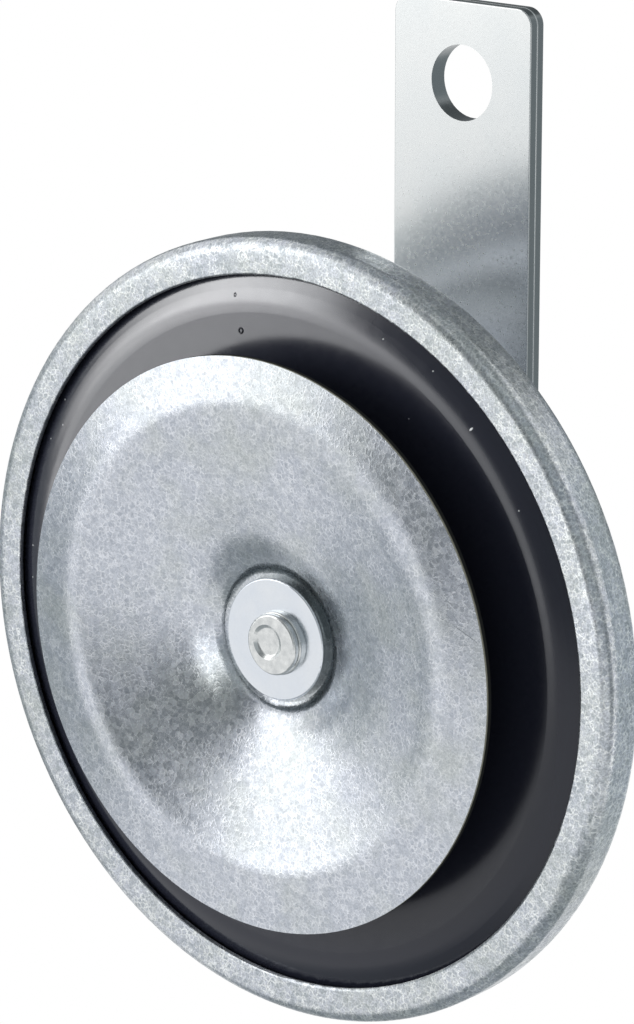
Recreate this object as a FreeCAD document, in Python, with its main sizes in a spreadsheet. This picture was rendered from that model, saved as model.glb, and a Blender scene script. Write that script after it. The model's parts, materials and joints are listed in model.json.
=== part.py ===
import FreeCAD
import Part
import Sketcher
import math
import os
import re

# Disc horn on a strip bracket.
# The horn's own frame: its axis is Y, y = 0 is the front of the clinched rim, and y grows rearwards.
# Every piece is then shifted so that the origin is the centre of the bracket's hole, on its rear face.
# Lengths are in millimetres.

Vector = FreeCAD.Vector

DIMENSIONS = (
    # Clinched rim and the edges that it clamps
    ("rim_inner", 42.0, "radius of the opening in the rim"),
    ("rim_width", 4.3, "from that opening to the outside of the rim"),
    ("rim_sheet", 0.8, "thickness of the rim's sheet"),
    ("rim_front_bend", 1.5, "outer bend radius at the rim's front"),
    ("rim_rear_bend", 2.0, "outer bend radius at the rim's clinched rear"),
    ("rim_edge_round", 0.3, "rounding of the rim's inner edges"),
    ("rear_lip_width", 3.7, "width of the rim's rear lip"),
    ("channel_gap", 0.1, "radial gap between the rim and what it clamps"),
    ("front_gasket_inset", 1.6, "from the rim's opening to the front gasket"),
    ("front_gasket_thick", 0.7, "thickness of the front gasket"),
    ("rear_gasket_width", 3.0, "width of the rear gasket"),
    ("rear_gasket_thick", 1.9, "thickness of the rear gasket"),
    # Diaphragm
    ("diaphragm_sheet", 0.5, "thickness of the diaphragm"),
    ("diaphragm_bend", 1.2, "inner bend radius of the diaphragm"),
    ("foot_inset", 1.2, "from the rim's opening to the foot of the diaphragm's outer slope"),
    ("outer_slope_width", 4.1, "width of that slope, up to the raised ring"),
    ("ring_rise", 1.5, "rise of the raised ring in front of the clamped edge"),
    ("ring_bend", 8.0, "bend radius of the raised ring's outer edge"),
    ("ring_width", 11.1, "width of the raised ring"),
    ("inner_slope_width", 4.0, "width of the slope from the ring back to the centre"),
    ("pad_drop", 0.75, "depth of the centre behind the clamped edge"),
    # Tone disc, its rises counted forwards from its centre floor
    ("disc_radius", 33.76, "outer radius of the tone disc"),
    ("disc_sheet", 0.8, "thickness of the tone disc"),
    ("disc_rise", 5.0, "rise of the disc's edge"),
    ("disc_flange", 7.76, "width of the disc's outer flange"),
    ("crest_rise", 5.35, "rise of that bend"),
    ("crest_bend", 8.0, "bend radius of the crest"),
    ("funnel_radius", 17.0, "outer radius of the steeper funnel"),
    ("funnel_rise", 3.5, "rise of the funnel"),
    ("funnel_bend", 24.0, "bend radius between funnel and slope"),
    ("lip_width", 0.8, "width of the slope from the recess floor to its lip"),
    ("lip_rise", 0.9, "rise of that lip"),
    ("lip_bend", 0.9, "bend radius of the lip and the recess"),
    ("recess_gap", 0.8, "from the front washer to the edge of the recess floor"),
    # Stem, washers and armature on the diaphragm's centre
    ("stem_radius", 3.0, "radius of the stem"),
    ("stem_gap", 0.05, "radial gap between the stem and what it passes through"),
    ("spacer_radius", 6.5, "radius of the spacer behind the tone disc"),
    ("spacer_thick", 2.2, "length of that spacer"),
    ("washer_radius", 7.2, "radius of the washer in front of the tone disc"),
    ("washer_thick", 1.1, "thickness of that washer"),
    ("washer_edge", 0.2, "rounding of the washer's edge"),
    ("head_spread", 0.6, "from the stem's radius to the peened head's"),
    ("head_height", 1.35, "height of the peened head above the washer"),
    ("head_round", 0.3, "rounding of the peened head"),
    ("head_shift", 0.6, "how far the head was peened off the axis, towards +X"),
    ("head_drop", 0.2, "how far it was peened off the axis, downwards"),
    ("head_base_spread", 0.75, "from the stem's radius to the head's base"),
    ("head_base_height", 0.55, "height of the head's base"),
    ("head_waist_spread", 0.45, "from the stem's radius to the waist between head and base"),
    ("head_waist_height", 0.25, "height of that waist"),
    ("dimple_radius", 2.1, "radius of the punched dimple, on the axis"),
    ("dimple_depth", 0.3, "depth of the dimple"),
    ("dimple_slope", 0.45, "width of the dimple's sloping side"),
    ("dimple_bend", 0.6, "bend radius at the dimple's bottom"),
    ("clamp_washer_radius", 8.0, "radius of the washer behind the diaphragm"),
    ("clamp_washer_thick", 1.0, "thickness of that washer"),
    ("armature_radius", 8.0, "radius of the armature's pole"),
    ("armature_length", 8.55, "length of the armature"),
    ("collar_radius", 12.0, "radius of the armature's collar"),
    ("collar_thick", 3.0, "thickness of that collar"),
    ("stem_seat", 5.25, "depth of the stem in the armature"),
    # Magnet
    ("air_gap", 0.9, "gap between armature and pole core"),
    ("core_radius", 8.0, "radius of the pole core"),
    ("core_proud", 0.8, "height of the core in front of the bobbin"),
    ("core_edge", 0.4, "bevel on the core and the armature"),
    ("yoke_radius", 18.5, "outer radius of the yoke cup"),
    ("yoke_sheet", 1.5, "thickness of the yoke cup"),
    ("yoke_bend", 1.0, "inner bend radius of the yoke cup"),
    ("bobbin_gap", 0.1, "radial gap between core and bobbin"),
    ("bobbin_wall", 0.9, "thickness of the bobbin's tube"),
    ("bobbin_flange", 1.2, "thickness of the bobbin's flanges"),
    ("bobbin_clear", 1.2, "radial gap between the bobbin's flanges and the yoke"),
    ("winding_inset", 0.8, "from the edge of the bobbin's flanges to the winding"),
    # Housing
    ("housing_depth", 31.9, "from the rim's front to the housing's rear face"),
    ("housing_sheet", 1.5, "thickness of the housing's flat walls"),
    ("housing_wall", 1.2, "thickness of its drawn walls, measured radially"),
    ("flange_width", 7.2, "width of the clamped flange"),
    ("wall_draft", 4.0, "narrowing of the wall from the flange to the shoulder"),
    ("shoulder_depth", 18.5, "from the rim's front to the shoulder's rear face"),
    ("boss_gap", 1.5, "radial gap between the yoke cup and the boss at its rear wall"),
    ("boss_draft", 0.9, "widening of the boss towards the shoulder"),
    ("housing_bend", 1.2, "inner bend radius of the housing"),
    ("shoulder_bend", 3.0, "inner bend radius at the shoulder's edge"),
    # Mounting stud, bracket and nut
    ("mount_stud_radius", 4.0, "radius of the mounting stud"),
    ("mount_stud_gap", 0.2, "radial gap round the mounting stud"),
    ("mount_stud_bevel", 0.6, "bevel on the end of the mounting stud"),
    ("leaf_thick", 1.2, "thickness of one bracket leaf"),
    ("leaf_edge", 0.15, "rounding of the leaves' edges"),
    ("bracket_width", 20.1, "width of the bracket"),
    ("bracket_hole", 4.5, "radius of the bracket's hole"),
    ("hole_height", 59.8, "height of that hole above the horn's axis"),
    ("bracket_top", 9.5, "from the hole's centre to the bracket's top edge"),
    ("bracket_corner", 2.0, "corner radius at the top"),
    ("bracket_foot", 11.0, "from the horn's axis to the bracket's lower end"),
    ("foot_corner", 7.0, "corner radius at the lower end"),
    ("mount_washer_radius", 8.0, "radius of the bracket's washer"),
    ("mount_washer_thick", 1.6, "thickness of that washer"),
    ("nut_flats", 13.0, "width across flats of the bracket's nut"),
    ("nut_thick", 6.5, "thickness of that nut"),
    ("stud_proud", 2.0, "height of the stud above the nut"),
    # Contact breaker, laid along +X from a carrier on the shoulder
    ("carrier_inset", 3.6, "from the wall at the shoulder to the carrier"),
    ("clamp_length", 6.9, "length of the clamped stack"),
    ("clamp_width", 9.0, "width of the clamped stack"),
    ("insulator_thick", 0.8, "thickness of the outer insulators"),
    ("arm_sheet", 0.8, "thickness of the contact arms"),
    ("arm_width", 6.0, "width of the moving arm"),
    ("flex_length", 2.0, "free length of the spring between the stack and the moving arm"),
    ("spring_sheet", 0.3, "thickness of the contact spring"),
    ("spring_overlap", 8.5, "length of the spring on the moving arm"),
    ("contact_reach", 4.0, "from the moving arm's root to the contacts"),
    ("contact_margin", 2.5, "from the contacts' centre to the fixed arm's end"),
    ("contact_radius", 1.5, "radius of the contacts"),
    ("contact_thick", 0.6, "thickness of each contact"),
    ("pusher_inset", 1.4, "from the edge of the armature's collar to the pusher's centre"),
    ("pusher_margin", 1.4, "from the pusher's centre to the moving arm's tip"),
    ("pusher_radius", 1.2, "radius of the pusher"),
    ("pusher_height", 1.05, "height of the pusher"),
    ("pusher_gap", 0.1, "gap between the armature's collar and the pusher"),
    ("carrier_sheet", 1.2, "thickness of the contact carrier"),
    ("carrier_width", 10.0, "width of the contact carrier"),
    ("carrier_bend", 0.8, "inner bend radius of the contact carrier"),
    ("rivet_inset", 3.3, "from the stack's inner end to the breaker's rivets"),
    ("rivet_spread", 2.6, "offset of the two stack rivets from the middle"),
    ("rivet_radius", 1.1, "radius of the stack rivets"),
    ("rivet_head_radius", 1.8, "radius of their heads"),
    ("rivet_head_thick", 0.6, "thickness of their heads"),
    ("rivet_clear", 0.5, "insulating gap round the rivets in arm and spring"),
    # Adjusting screw
    ("screw_inset", 0.1, "from the stack's inner end to the adjusting screw, along X"),
    ("screw_offset", 12.0, "from the middle of the stack to the adjusting screw, along Z"),
    ("screw_radius", 2.0, "radius of the adjusting screw"),
    ("screw_proud", 2.2, "height of the screw above its lock nut"),
    ("slot_width", 0.8, "width of the screw's slot"),
    ("slot_depth", 1.2, "depth of the screw's slot"),
    ("lock_nut_flats", 7.0, "width across flats of the lock nut"),
    ("lock_nut_thick", 3.2, "thickness of the lock nut"),
    ("tab_margin", 2.8, "from the screw's centre to the edges of the arm's tab"),
    # Terminals, below the axis
    ("block_width", 22.0, "width of the terminal insulator"),
    ("block_height", 8.0, "height of the terminal insulator"),
    ("block_inset", 3.4, "from the wall at the shoulder to its lower edge"),
    ("block_thick", 3.0, "thickness of the terminal insulator"),
    ("block_corner", 1.5, "corner radius of the terminal insulator"),
    ("lining_thick", 1.5, "thickness of the insulator inside the shoulder"),
    ("blade_width", 6.3, "width of a terminal blade"),
    ("blade_sheet", 0.8, "thickness of a terminal blade"),
    ("blade_length", 8.0, "free length of a terminal blade"),
    ("blade_bend", 0.5, "inner bend radius of a terminal blade"),
    ("blade_bevel", 0.9, "bevel on a blade's corners"),
    ("blade_hole", 0.9, "radius of the hole in a blade"),
    ("blade_hole_at", 3.3, "distance of that hole from the blade's tip"),
    ("blade_spread", 5.6, "offset of each blade from the middle"),
    ("blade_margin", 0.5, "from the insulator's edges to the blade's foot"),
    ("terminal_rivet_inset", 3.3, "from the insulator's lower edge to the terminal rivets"),
    ("terminal_rivet_radius", 1.3, "radius of the terminal rivets"),
    ("terminal_head_radius", 2.3, "radius of their heads"),
    ("terminal_head_thick", 0.7, "thickness of their heads"),
    ("terminal_clear", 0.9, "insulating gap round the terminal rivets in the housing"),
)

# Places along the axis, worked out from the sizes above
DIAPHRAGM_FRONT = "(rim_sheet + front_gasket_thick)"
REAR_GASKET_FRONT = f"({DIAPHRAGM_FRONT} + diaphragm_sheet)"
FLANGE_FRONT = f"({REAR_GASKET_FRONT} + rear_gasket_thick)"
FLANGE_REAR = f"({FLANGE_FRONT} + housing_sheet)"
RIM_REAR = f"({FLANGE_REAR} + rim_sheet)"
PAD_FRONT = f"({DIAPHRAGM_FRONT} + pad_drop)"
RING_FRONT = f"({DIAPHRAGM_FRONT} - ring_rise)"
DISC_REAR = f"({PAD_FRONT} - spacer_thick)"
DISC_FRONT = f"({DISC_REAR} - disc_sheet)"
WASHER_FRONT = f"({DISC_FRONT} - washer_thick)"
HEAD_FRONT = f"({WASHER_FRONT} - head_height)"
STEM_HOLE = "(stem_radius + stem_gap)"
CLAMP_WASHER_FRONT = f"({PAD_FRONT} + diaphragm_sheet)"
ARMATURE_FRONT = f"({CLAMP_WASHER_FRONT} + clamp_washer_thick)"
ARMATURE_REAR = f"({ARMATURE_FRONT} + armature_length)"
COLLAR_REAR = f"({ARMATURE_FRONT} + collar_thick)"
STEM_REAR = f"({ARMATURE_FRONT} + stem_seat)"
CORE_FRONT = f"({ARMATURE_REAR} + air_gap)"
HOUSING_FLOOR = "(housing_depth - housing_sheet)"
YOKE_FLOOR = f"({HOUSING_FLOOR} - yoke_sheet)"
BOBBIN_FRONT = f"({CORE_FRONT} + core_proud)"
SHOULDER_FRONT = "(shoulder_depth - housing_sheet)"
STUD_HOLE = "(mount_stud_radius + mount_stud_gap)"
REAR_LEAF_FRONT = "(housing_depth + leaf_thick)"
BRACKET_REAR = "(housing_depth + 2 * leaf_thick)"
NUT_FRONT = f"({BRACKET_REAR} + mount_washer_thick)"
STUD_REAR = f"({NUT_FRONT} + nut_thick + stud_proud)"
PUSHER_FRONT = f"({COLLAR_REAR} + pusher_gap)"
ARM_FRONT = f"({PUSHER_FRONT} + pusher_height)"
SPRING_FRONT = f"({ARM_FRONT} + arm_sheet)"
REAR_INSULATOR_FRONT = f"({SPRING_FRONT} + spring_sheet)"
CARRIER_FRONT = f"({REAR_INSULATOR_FRONT} + insulator_thick)"
MOVING_CONTACT_FRONT = f"({ARM_FRONT} - contact_thick)"
FIXED_ARM_REAR = f"({MOVING_CONTACT_FRONT} - contact_thick)"
FIXED_ARM_FRONT = f"({FIXED_ARM_REAR} - arm_sheet)"
FRONT_INSULATOR_FRONT = f"({FIXED_ARM_FRONT} - insulator_thick)"
BLOCK_REAR = "(shoulder_depth + block_thick)"

# Radii and places across the axis, worked out from the sizes above
RIM_OUTER = "(rim_inner + rim_width)"
REAR_LIP_INNER = f"({RIM_OUTER} - rear_lip_width)"
CHANNEL_RADIUS = f"({RIM_OUTER} - rim_sheet - channel_gap)"
RING_FOOT = "(rim_inner + foot_inset)"
RING_OUTER = f"({RING_FOOT} - outer_slope_width)"
RING_INNER = f"({RING_OUTER} - ring_width)"
PAD_RADIUS = f"({RING_INNER} - inner_slope_width)"
CREST_RADIUS = "(disc_radius - disc_flange)"
FLOOR_RADIUS = "(washer_radius + recess_gap)"
LIP_RADIUS = f"({FLOOR_RADIUS} + lip_width)"
BOBBIN_RADIUS = "(yoke_radius - yoke_sheet - bobbin_clear)"
CUP_RADIUS = f"({CHANNEL_RADIUS} - flange_width)"
SHOULDER_RADIUS = f"({CUP_RADIUS} - wall_draft)"
BOSS_REAR_RADIUS = "(yoke_radius + boss_gap)"
BOSS_RADIUS = f"({BOSS_REAR_RADIUS} + boss_draft)"
CLAMP_OUTER = f"({SHOULDER_RADIUS} - carrier_inset)"
CLAMP_INNER = f"({CLAMP_OUTER} - clamp_length)"
RIVET_AT = f"({CLAMP_INNER} + rivet_inset)"
ARM_ROOT = f"({CLAMP_INNER} - flex_length)"
SPRING_TIP = f"({ARM_ROOT} - spring_overlap)"
CONTACT_AT = f"({ARM_ROOT} - contact_reach)"
FIXED_ARM_TIP = f"({CONTACT_AT} - contact_margin)"
PUSHER_AT = "(collar_radius - pusher_inset)"
ARM_TIP = f"({PUSHER_AT} - pusher_margin)"
SCREW_X = f"({CLAMP_INNER} + screw_inset)"
BLOCK_FAR = f"({SHOULDER_RADIUS} - block_inset)"
BLOCK_NEAR = f"({BLOCK_FAR} - block_height)"
TERMINAL_RIVET_AT = f"({BLOCK_FAR} - terminal_rivet_inset)"

document = FreeCAD.newDocument("DiscHorn")
sheet = document.addObject("Spreadsheet::Sheet", "Dims")
aliases = {alias for alias, size, meaning in DIMENSIONS}
for row, (alias, size, meaning) in enumerate(DIMENSIONS, 1):
    sheet.set(f"A{row}", alias)
    sheet.set(f"B{row}", str(size))
    sheet.setAlias(f"B{row}", alias)
    sheet.set(f"C{row}", meaning)
document.recompute()

subparts = {}


def value(expression):
    """The number that an expression of sheet names stands for."""
    return float(sheet.evalExpression(expression))


def bound(expression):
    """The same expression with each name pointing into the sheet."""
    return re.sub(r"[a-z]\w*", lambda word: "Dims." + word[0] if word[0] in aliases else word[0], expression)


def bind(item, setting, expression):
    """Tie one setting of an object to the sheet."""
    item.setExpression(setting, bound(expression))


def register(item, label, x="0", y="0", z="0"):
    """Name a finished sub-part and shift it from the horn's frame to the bracket's hole."""
    item.Label = label
    bind(item, "Placement.Base.x", x)
    bind(item, "Placement.Base.y", f"{y} - {BRACKET_REAR}")
    bind(item, "Placement.Base.z", f"{z} - hole_height")
    subparts[label] = item
    return item


def new_body(label):
    return document.addObject("PartDesign::Body", label + "_body")


def new_sketch(body, plane_role, name):
    """A sketch on one of the body's own origin planes."""
    sketch = body.newObject("Sketcher::SketchObject", name)
    plane = next(item for item in body.Origin.OriginFeatures if item.Role == plane_role)
    sketch.AttachmentSupport = [(plane, "")]
    sketch.MapMode = "FlatFace"
    return sketch


def pin(sketch, geometry, point, place):
    """Hold a sketch point at a place given by two expressions."""
    for axis, expression in zip(("DistanceX", "DistanceY"), place):
        number = sketch.addConstraint(
            Sketcher.Constraint(axis, -1, 1, geometry, point, value(expression)))
        sketch.setExpression(f"Constraints[{number}]", bound(expression))


def draw_circle(sketch, x, y, radius):
    centre = Vector(value(x), value(y), 0)
    circle = sketch.addGeometry(Part.Circle(centre, Vector(0, 0, 1), value(radius)), False)
    pin(sketch, circle, 3, (x, y))
    number = sketch.addConstraint(Sketcher.Constraint("Radius", circle, value(radius)))
    sketch.setExpression(f"Constraints[{number}]", bound(radius))


def bend_geometry(before, corner, after, radius):
    """Centre and tangent points of a bend at a corner, and whether it turns left."""
    back = (before - corner).normalize()
    ahead = (after - corner).normalize()
    half = back.getAngle(ahead) / 2
    reach = radius / math.tan(half)
    middle = (back + ahead).normalize()
    centre = corner + middle * (radius / math.sin(half))
    turns_left = back.cross(ahead).z < 0
    return centre, corner + back * reach, corner + ahead * reach, turns_left


def draw_outline(sketch, corners):
    """A closed outline of straight lines, with a tangent arc at each corner that has a bend radius."""
    count = len(corners)
    points = [Vector(value(corner[0]), value(corner[1]), 0) for corner in corners]
    bends = {}
    for index, corner in enumerate(corners):
        if len(corner) == 3:
            bends[index] = bend_geometry(
                points[index - 1], points[index], points[(index + 1) % count], value(corner[2]))
    arrive = [bends[index][1] if index in bends else points[index] for index in range(count)]
    leave = [bends[index][2] if index in bends else points[index] for index in range(count)]
    lines = [
        sketch.addGeometry(Part.LineSegment(leave[index], arrive[(index + 1) % count]), False)
        for index in range(count)]
    for index, corner in enumerate(corners):
        before = lines[index - 1]
        after = lines[index]
        if index not in bends:
            sketch.addConstraint(Sketcher.Constraint("Coincident", before, 2, after, 1))
            pin(sketch, after, 1, corner[:2])
            continue
        centre, first, last, turns_left = bends[index]
        ends = (first, last) if turns_left else (last, first)
        angles = [math.atan2(end.y - centre.y, end.x - centre.x) for end in ends]
        circle = Part.Circle(centre, Vector(0, 0, 1), value(corner[2]))
        arc = sketch.addGeometry(Part.ArcOfCircle(circle, *angles), False)
        arc_first, arc_last = (1, 2) if turns_left else (2, 1)
        point = sketch.addGeometry(Part.Point(points[index]), True)
        sketch.addConstraint(Sketcher.Constraint("Tangent", before, 2, arc, arc_first))
        sketch.addConstraint(Sketcher.Constraint("Tangent", arc, arc_last, after, 1))
        sketch.addConstraint(Sketcher.Constraint("PointOnObject", point, 1, before))
        sketch.addConstraint(Sketcher.Constraint("PointOnObject", point, 1, after))
        pin(sketch, point, 1, corner[:2])
        number = sketch.addConstraint(Sketcher.Constraint("Radius", arc, value(corner[2])))
        sketch.setExpression(f"Constraints[{number}]", bound(corner[2]))


def turned_body(label, corners):
    """A body of revolution about the horn's axis. Each corner is radius, place along the axis, bend."""
    body = new_body(label)
    sketch = new_sketch(body, "XY_Plane", label + "_section")
    draw_outline(sketch, corners)
    solid = body.newObject("PartDesign::Revolution", label + "_turn")
    solid.Profile = sketch
    solid.ReferenceAxis = (sketch, ["V_Axis"])
    solid.Angle = 360
    return body


def turned(label, corners):
    """A sub-part of revolution about the horn's axis, with the same kind of corners."""
    return register(turned_body(label, corners), label)


def ring(label, inner, outer, front, rear):
    """A plain ring with a rectangular section."""
    return turned(label, [(inner, front), (outer, front), (outer, rear), (inner, rear)])


def flat_piece(label, corners, holes, front, thickness, x="0", z="0"):
    """A flat piece across the axis. Corners are x, z, bend; holes are x, z, radius."""
    body = new_body(label)
    sketch = new_sketch(body, "XZ_Plane", label + "_outline")
    draw_outline(sketch, corners)
    for hole in holes:
        draw_circle(sketch, *hole)
    solid = body.newObject("PartDesign::Pad", label + "_blank")
    solid.Profile = sketch
    bind(solid, "Length", thickness)
    solid.Reversed = True
    return register(body, label, x, front, z)


def edges_where(shape, test):
    """Names of the edges of a shape that pass a test."""
    return [f"Edge{number}" for number, edge in enumerate(shape.Edges, 1) if test(edge)]


def round_edges(body, label, radius, test):
    """Round the edges of a body that pass a test."""
    document.recompute()
    base = body.Tip
    solid = body.newObject("PartDesign::Fillet", label)
    solid.Base = (base, edges_where(base.Shape, test))
    bind(solid, "Radius", radius)
    return solid


def bevel_edges(body, label, size, test):
    """Bevel the edges of a body that pass a test."""
    document.recompute()
    base = body.Tip
    solid = body.newObject("PartDesign::Chamfer", label)
    solid.Base = (base, edges_where(base.Shape, test))
    bind(solid, "Size", size)
    return solid


def rod(name, radius, front, rear, x="0", z="0"):
    """A cylinder along the axis, between two places on it, in the horn's frame."""
    item = document.addObject("Part::Cylinder", name)
    item.Placement = FreeCAD.Placement(Vector(0, 0, 0), FreeCAD.Rotation(Vector(1, 0, 0), -90))
    bind(item, "Radius", radius)
    bind(item, "Height", f"({rear}) - ({front})")
    bind(item, "Placement.Base.x", x)
    bind(item, "Placement.Base.y", front)
    bind(item, "Placement.Base.z", z)
    return item


def fuse(name, items):
    item = document.addObject("Part::MultiFuse", name)
    item.Shapes = items
    return item


def cut(name, base, tool):
    item = document.addObject("Part::Cut", name)
    item.Base = base
    item.Tool = tool
    return item


def rivet(name, radius, head_radius, head_thick, front, rear, x, z):
    """A shank between two faces, with a flat head on each of them."""
    return fuse(name, [
        rod(name + "_shank", radius, front, rear, x, z),
        rod(name + "_front_head", head_radius, f"{front} - {head_thick}", front, x, z),
        rod(name + "_rear_head", head_radius, rear, f"{rear} + {head_thick}", x, z)])


def hexagon_nut(label, flats, thickness, bore, front, x="0", z="0"):
    """A hexagon nut with its outer corners turned down at 30 degrees."""
    turn = FreeCAD.Rotation(Vector(1, 0, 0), -90)
    block = document.addObject("Part::Prism", label + "_block")
    block.Polygon = 6
    block.Placement = FreeCAD.Placement(Vector(0, 0, 0), turn)
    bind(block, "Circumradius", f"{flats} / 2 / cos(30 deg)")
    bind(block, "Height", thickness)
    cone = document.addObject("Part::Cone", label + "_turning")
    cone.Placement = FreeCAD.Placement(Vector(0, 0, 0), turn)
    bind(cone, "Radius1", f"{flats} / 2 + {thickness} / tan(30 deg)")
    bind(cone, "Radius2", f"{flats} / 2")
    bind(cone, "Height", thickness)
    hole = document.addObject("Part::Cylinder", label + "_bore")
    hole.Placement = FreeCAD.Placement(Vector(0, 0, 0), turn)
    bind(hole, "Radius", bore)
    bind(hole, "Height", thickness)
    crowned = document.addObject("Part::MultiCommon", label + "_crowned")
    crowned.Shapes = [block, cone]
    return register(cut(label + "_nut", crowned, hole), label, x, front, z)


def make_rim():
    """Sheet ring with a channel section, clinched over the flange, gaskets and diaphragm."""
    channel = f"({RIM_OUTER} - rim_sheet)"
    turned("rim_ring", [
        ("rim_inner", "0", "rim_edge_round"),
        (RIM_OUTER, "0", "rim_front_bend"),
        (RIM_OUTER, RIM_REAR, "rim_rear_bend"),
        (REAR_LIP_INNER, RIM_REAR, "rim_edge_round"),
        (REAR_LIP_INNER, FLANGE_REAR),
        (channel, FLANGE_REAR, "rim_rear_bend - rim_sheet"),
        (channel, "rim_sheet", "rim_front_bend - rim_sheet"),
        ("rim_inner", "rim_sheet", "rim_edge_round")])


def make_gaskets():
    ring("front_gasket", "(rim_inner + front_gasket_inset)", f"({RIM_OUTER} - rim_front_bend)",
         "rim_sheet", DIAPHRAGM_FRONT)
    ring("rear_gasket", f"({CHANNEL_RADIUS} - rear_gasket_width)", CHANNEL_RADIUS,
         REAR_GASKET_FRONT, FLANGE_FRONT)


def make_diaphragm():
    """Thin pressed disc: a clamped edge, a slope up to a raised flat ring, and a recessed centre."""
    inside = "diaphragm_bend"
    outside = "diaphragm_bend + diaphragm_sheet"
    section = [
        (STEM_HOLE, PAD_FRONT, "0", "0"),
        (PAD_RADIUS, PAD_FRONT, inside, outside),
        (RING_INNER, RING_FRONT, outside, inside),
        (RING_OUTER, RING_FRONT, "ring_bend", "ring_bend - diaphragm_sheet"),
        (RING_FOOT, DIAPHRAGM_FRONT, inside, outside),
        (CHANNEL_RADIUS, DIAPHRAGM_FRONT, "0", "0")]
    front = [(radius, place, bend)[:2 if bend == "0" else 3] for radius, place, bend, rear_bend in section]
    rear = [
        (radius, f"{place} + diaphragm_sheet", bend)[:2 if bend == "0" else 3]
        for radius, place, front_bend, bend in reversed(section)]
    turned("diaphragm", front + rear)


def make_tone_disc():
    """Dished resonator disc: centre recess, funnel, slope and a nearly flat outer flange."""
    turned("tone_disc", [
        (STEM_HOLE, DISC_FRONT),
        (FLOOR_RADIUS, DISC_FRONT, "lip_bend"),
        (LIP_RADIUS, f"{DISC_FRONT} - lip_rise", "lip_bend + disc_sheet"),
        ("funnel_radius", f"{DISC_FRONT} - funnel_rise", "funnel_bend + disc_sheet"),
        (CREST_RADIUS, f"{DISC_FRONT} - crest_rise", "crest_bend + disc_sheet"),
        ("disc_radius", f"{DISC_FRONT} - disc_rise"),
        ("disc_radius", f"{DISC_REAR} - disc_rise"),
        (CREST_RADIUS, f"{DISC_REAR} - crest_rise", "crest_bend"),
        ("funnel_radius", f"{DISC_REAR} - funnel_rise", "funnel_bend"),
        (LIP_RADIUS, f"{DISC_REAR} - lip_rise", "lip_bend"),
        (FLOOR_RADIUS, DISC_REAR, "lip_bend + disc_sheet"),
        (STEM_HOLE, DISC_REAR)])


def make_centre_stack():
    """Washers, spacer and stem that clamp the tone disc and the diaphragm to the armature."""
    turned("front_washer", [
        (STEM_HOLE, WASHER_FRONT),
        ("washer_radius", WASHER_FRONT, "washer_edge"),
        ("washer_radius", DISC_FRONT),
        (STEM_HOLE, DISC_FRONT)])
    ring("hub_spacer", STEM_HOLE, "spacer_radius", DISC_REAR, PAD_FRONT)
    ring("diaphragm_washer", STEM_HOLE, "clamp_washer_radius", CLAMP_WASHER_FRONT, ARMATURE_FRONT)
    make_centre_stem()


def make_centre_stem():
    """Stem with a head that was peened a little off the axis, over its base, and a dimple on the axis."""
    head = "(stem_radius + head_spread)"
    waist = "(stem_radius + head_waist_spread)"
    base = "(stem_radius + head_base_spread)"
    base_front = f"({WASHER_FRONT} - head_base_height)"
    waist_front = f"({base_front} - head_waist_height)"
    peened = turned_body("centre_stem_head", [
        ("0", HEAD_FRONT),
        (head, HEAD_FRONT, "head_round"),
        (head, waist_front),
        (waist, waist_front),
        (waist, base_front),
        (base, base_front, "head_waist_height"),
        (base, WASHER_FRONT),
        ("0", WASHER_FRONT)])
    bind(peened, "Placement.Base.x", "head_shift")
    bind(peened, "Placement.Base.z", "-head_drop")
    shank = rod("centre_stem_shank", "stem_radius", WASHER_FRONT, STEM_REAR)
    punch = turned_body("centre_stem_punch", [
        ("0", f"{HEAD_FRONT} - dimple_depth"),
        ("dimple_radius + dimple_slope", f"{HEAD_FRONT} - dimple_depth"),
        ("dimple_radius - dimple_slope", f"{HEAD_FRONT} + dimple_depth", "dimple_bend"),
        ("0", f"{HEAD_FRONT} + dimple_depth")])
    blank = fuse("centre_stem_blank", [shank, peened])
    register(cut("centre_stem_punched", blank, punch), "centre_stem")


def make_armature():
    """Turned iron plunger with a collar that works the contact breaker."""
    turned("armature", [
        ("stem_radius", ARMATURE_FRONT),
        ("collar_radius", ARMATURE_FRONT),
        ("collar_radius", COLLAR_REAR),
        ("armature_radius", COLLAR_REAR),
        ("armature_radius", f"{ARMATURE_REAR} - core_edge"),
        ("armature_radius - core_edge", ARMATURE_REAR),
        ("0", ARMATURE_REAR),
        ("0", STEM_REAR),
        ("stem_radius", STEM_REAR)])


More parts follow.
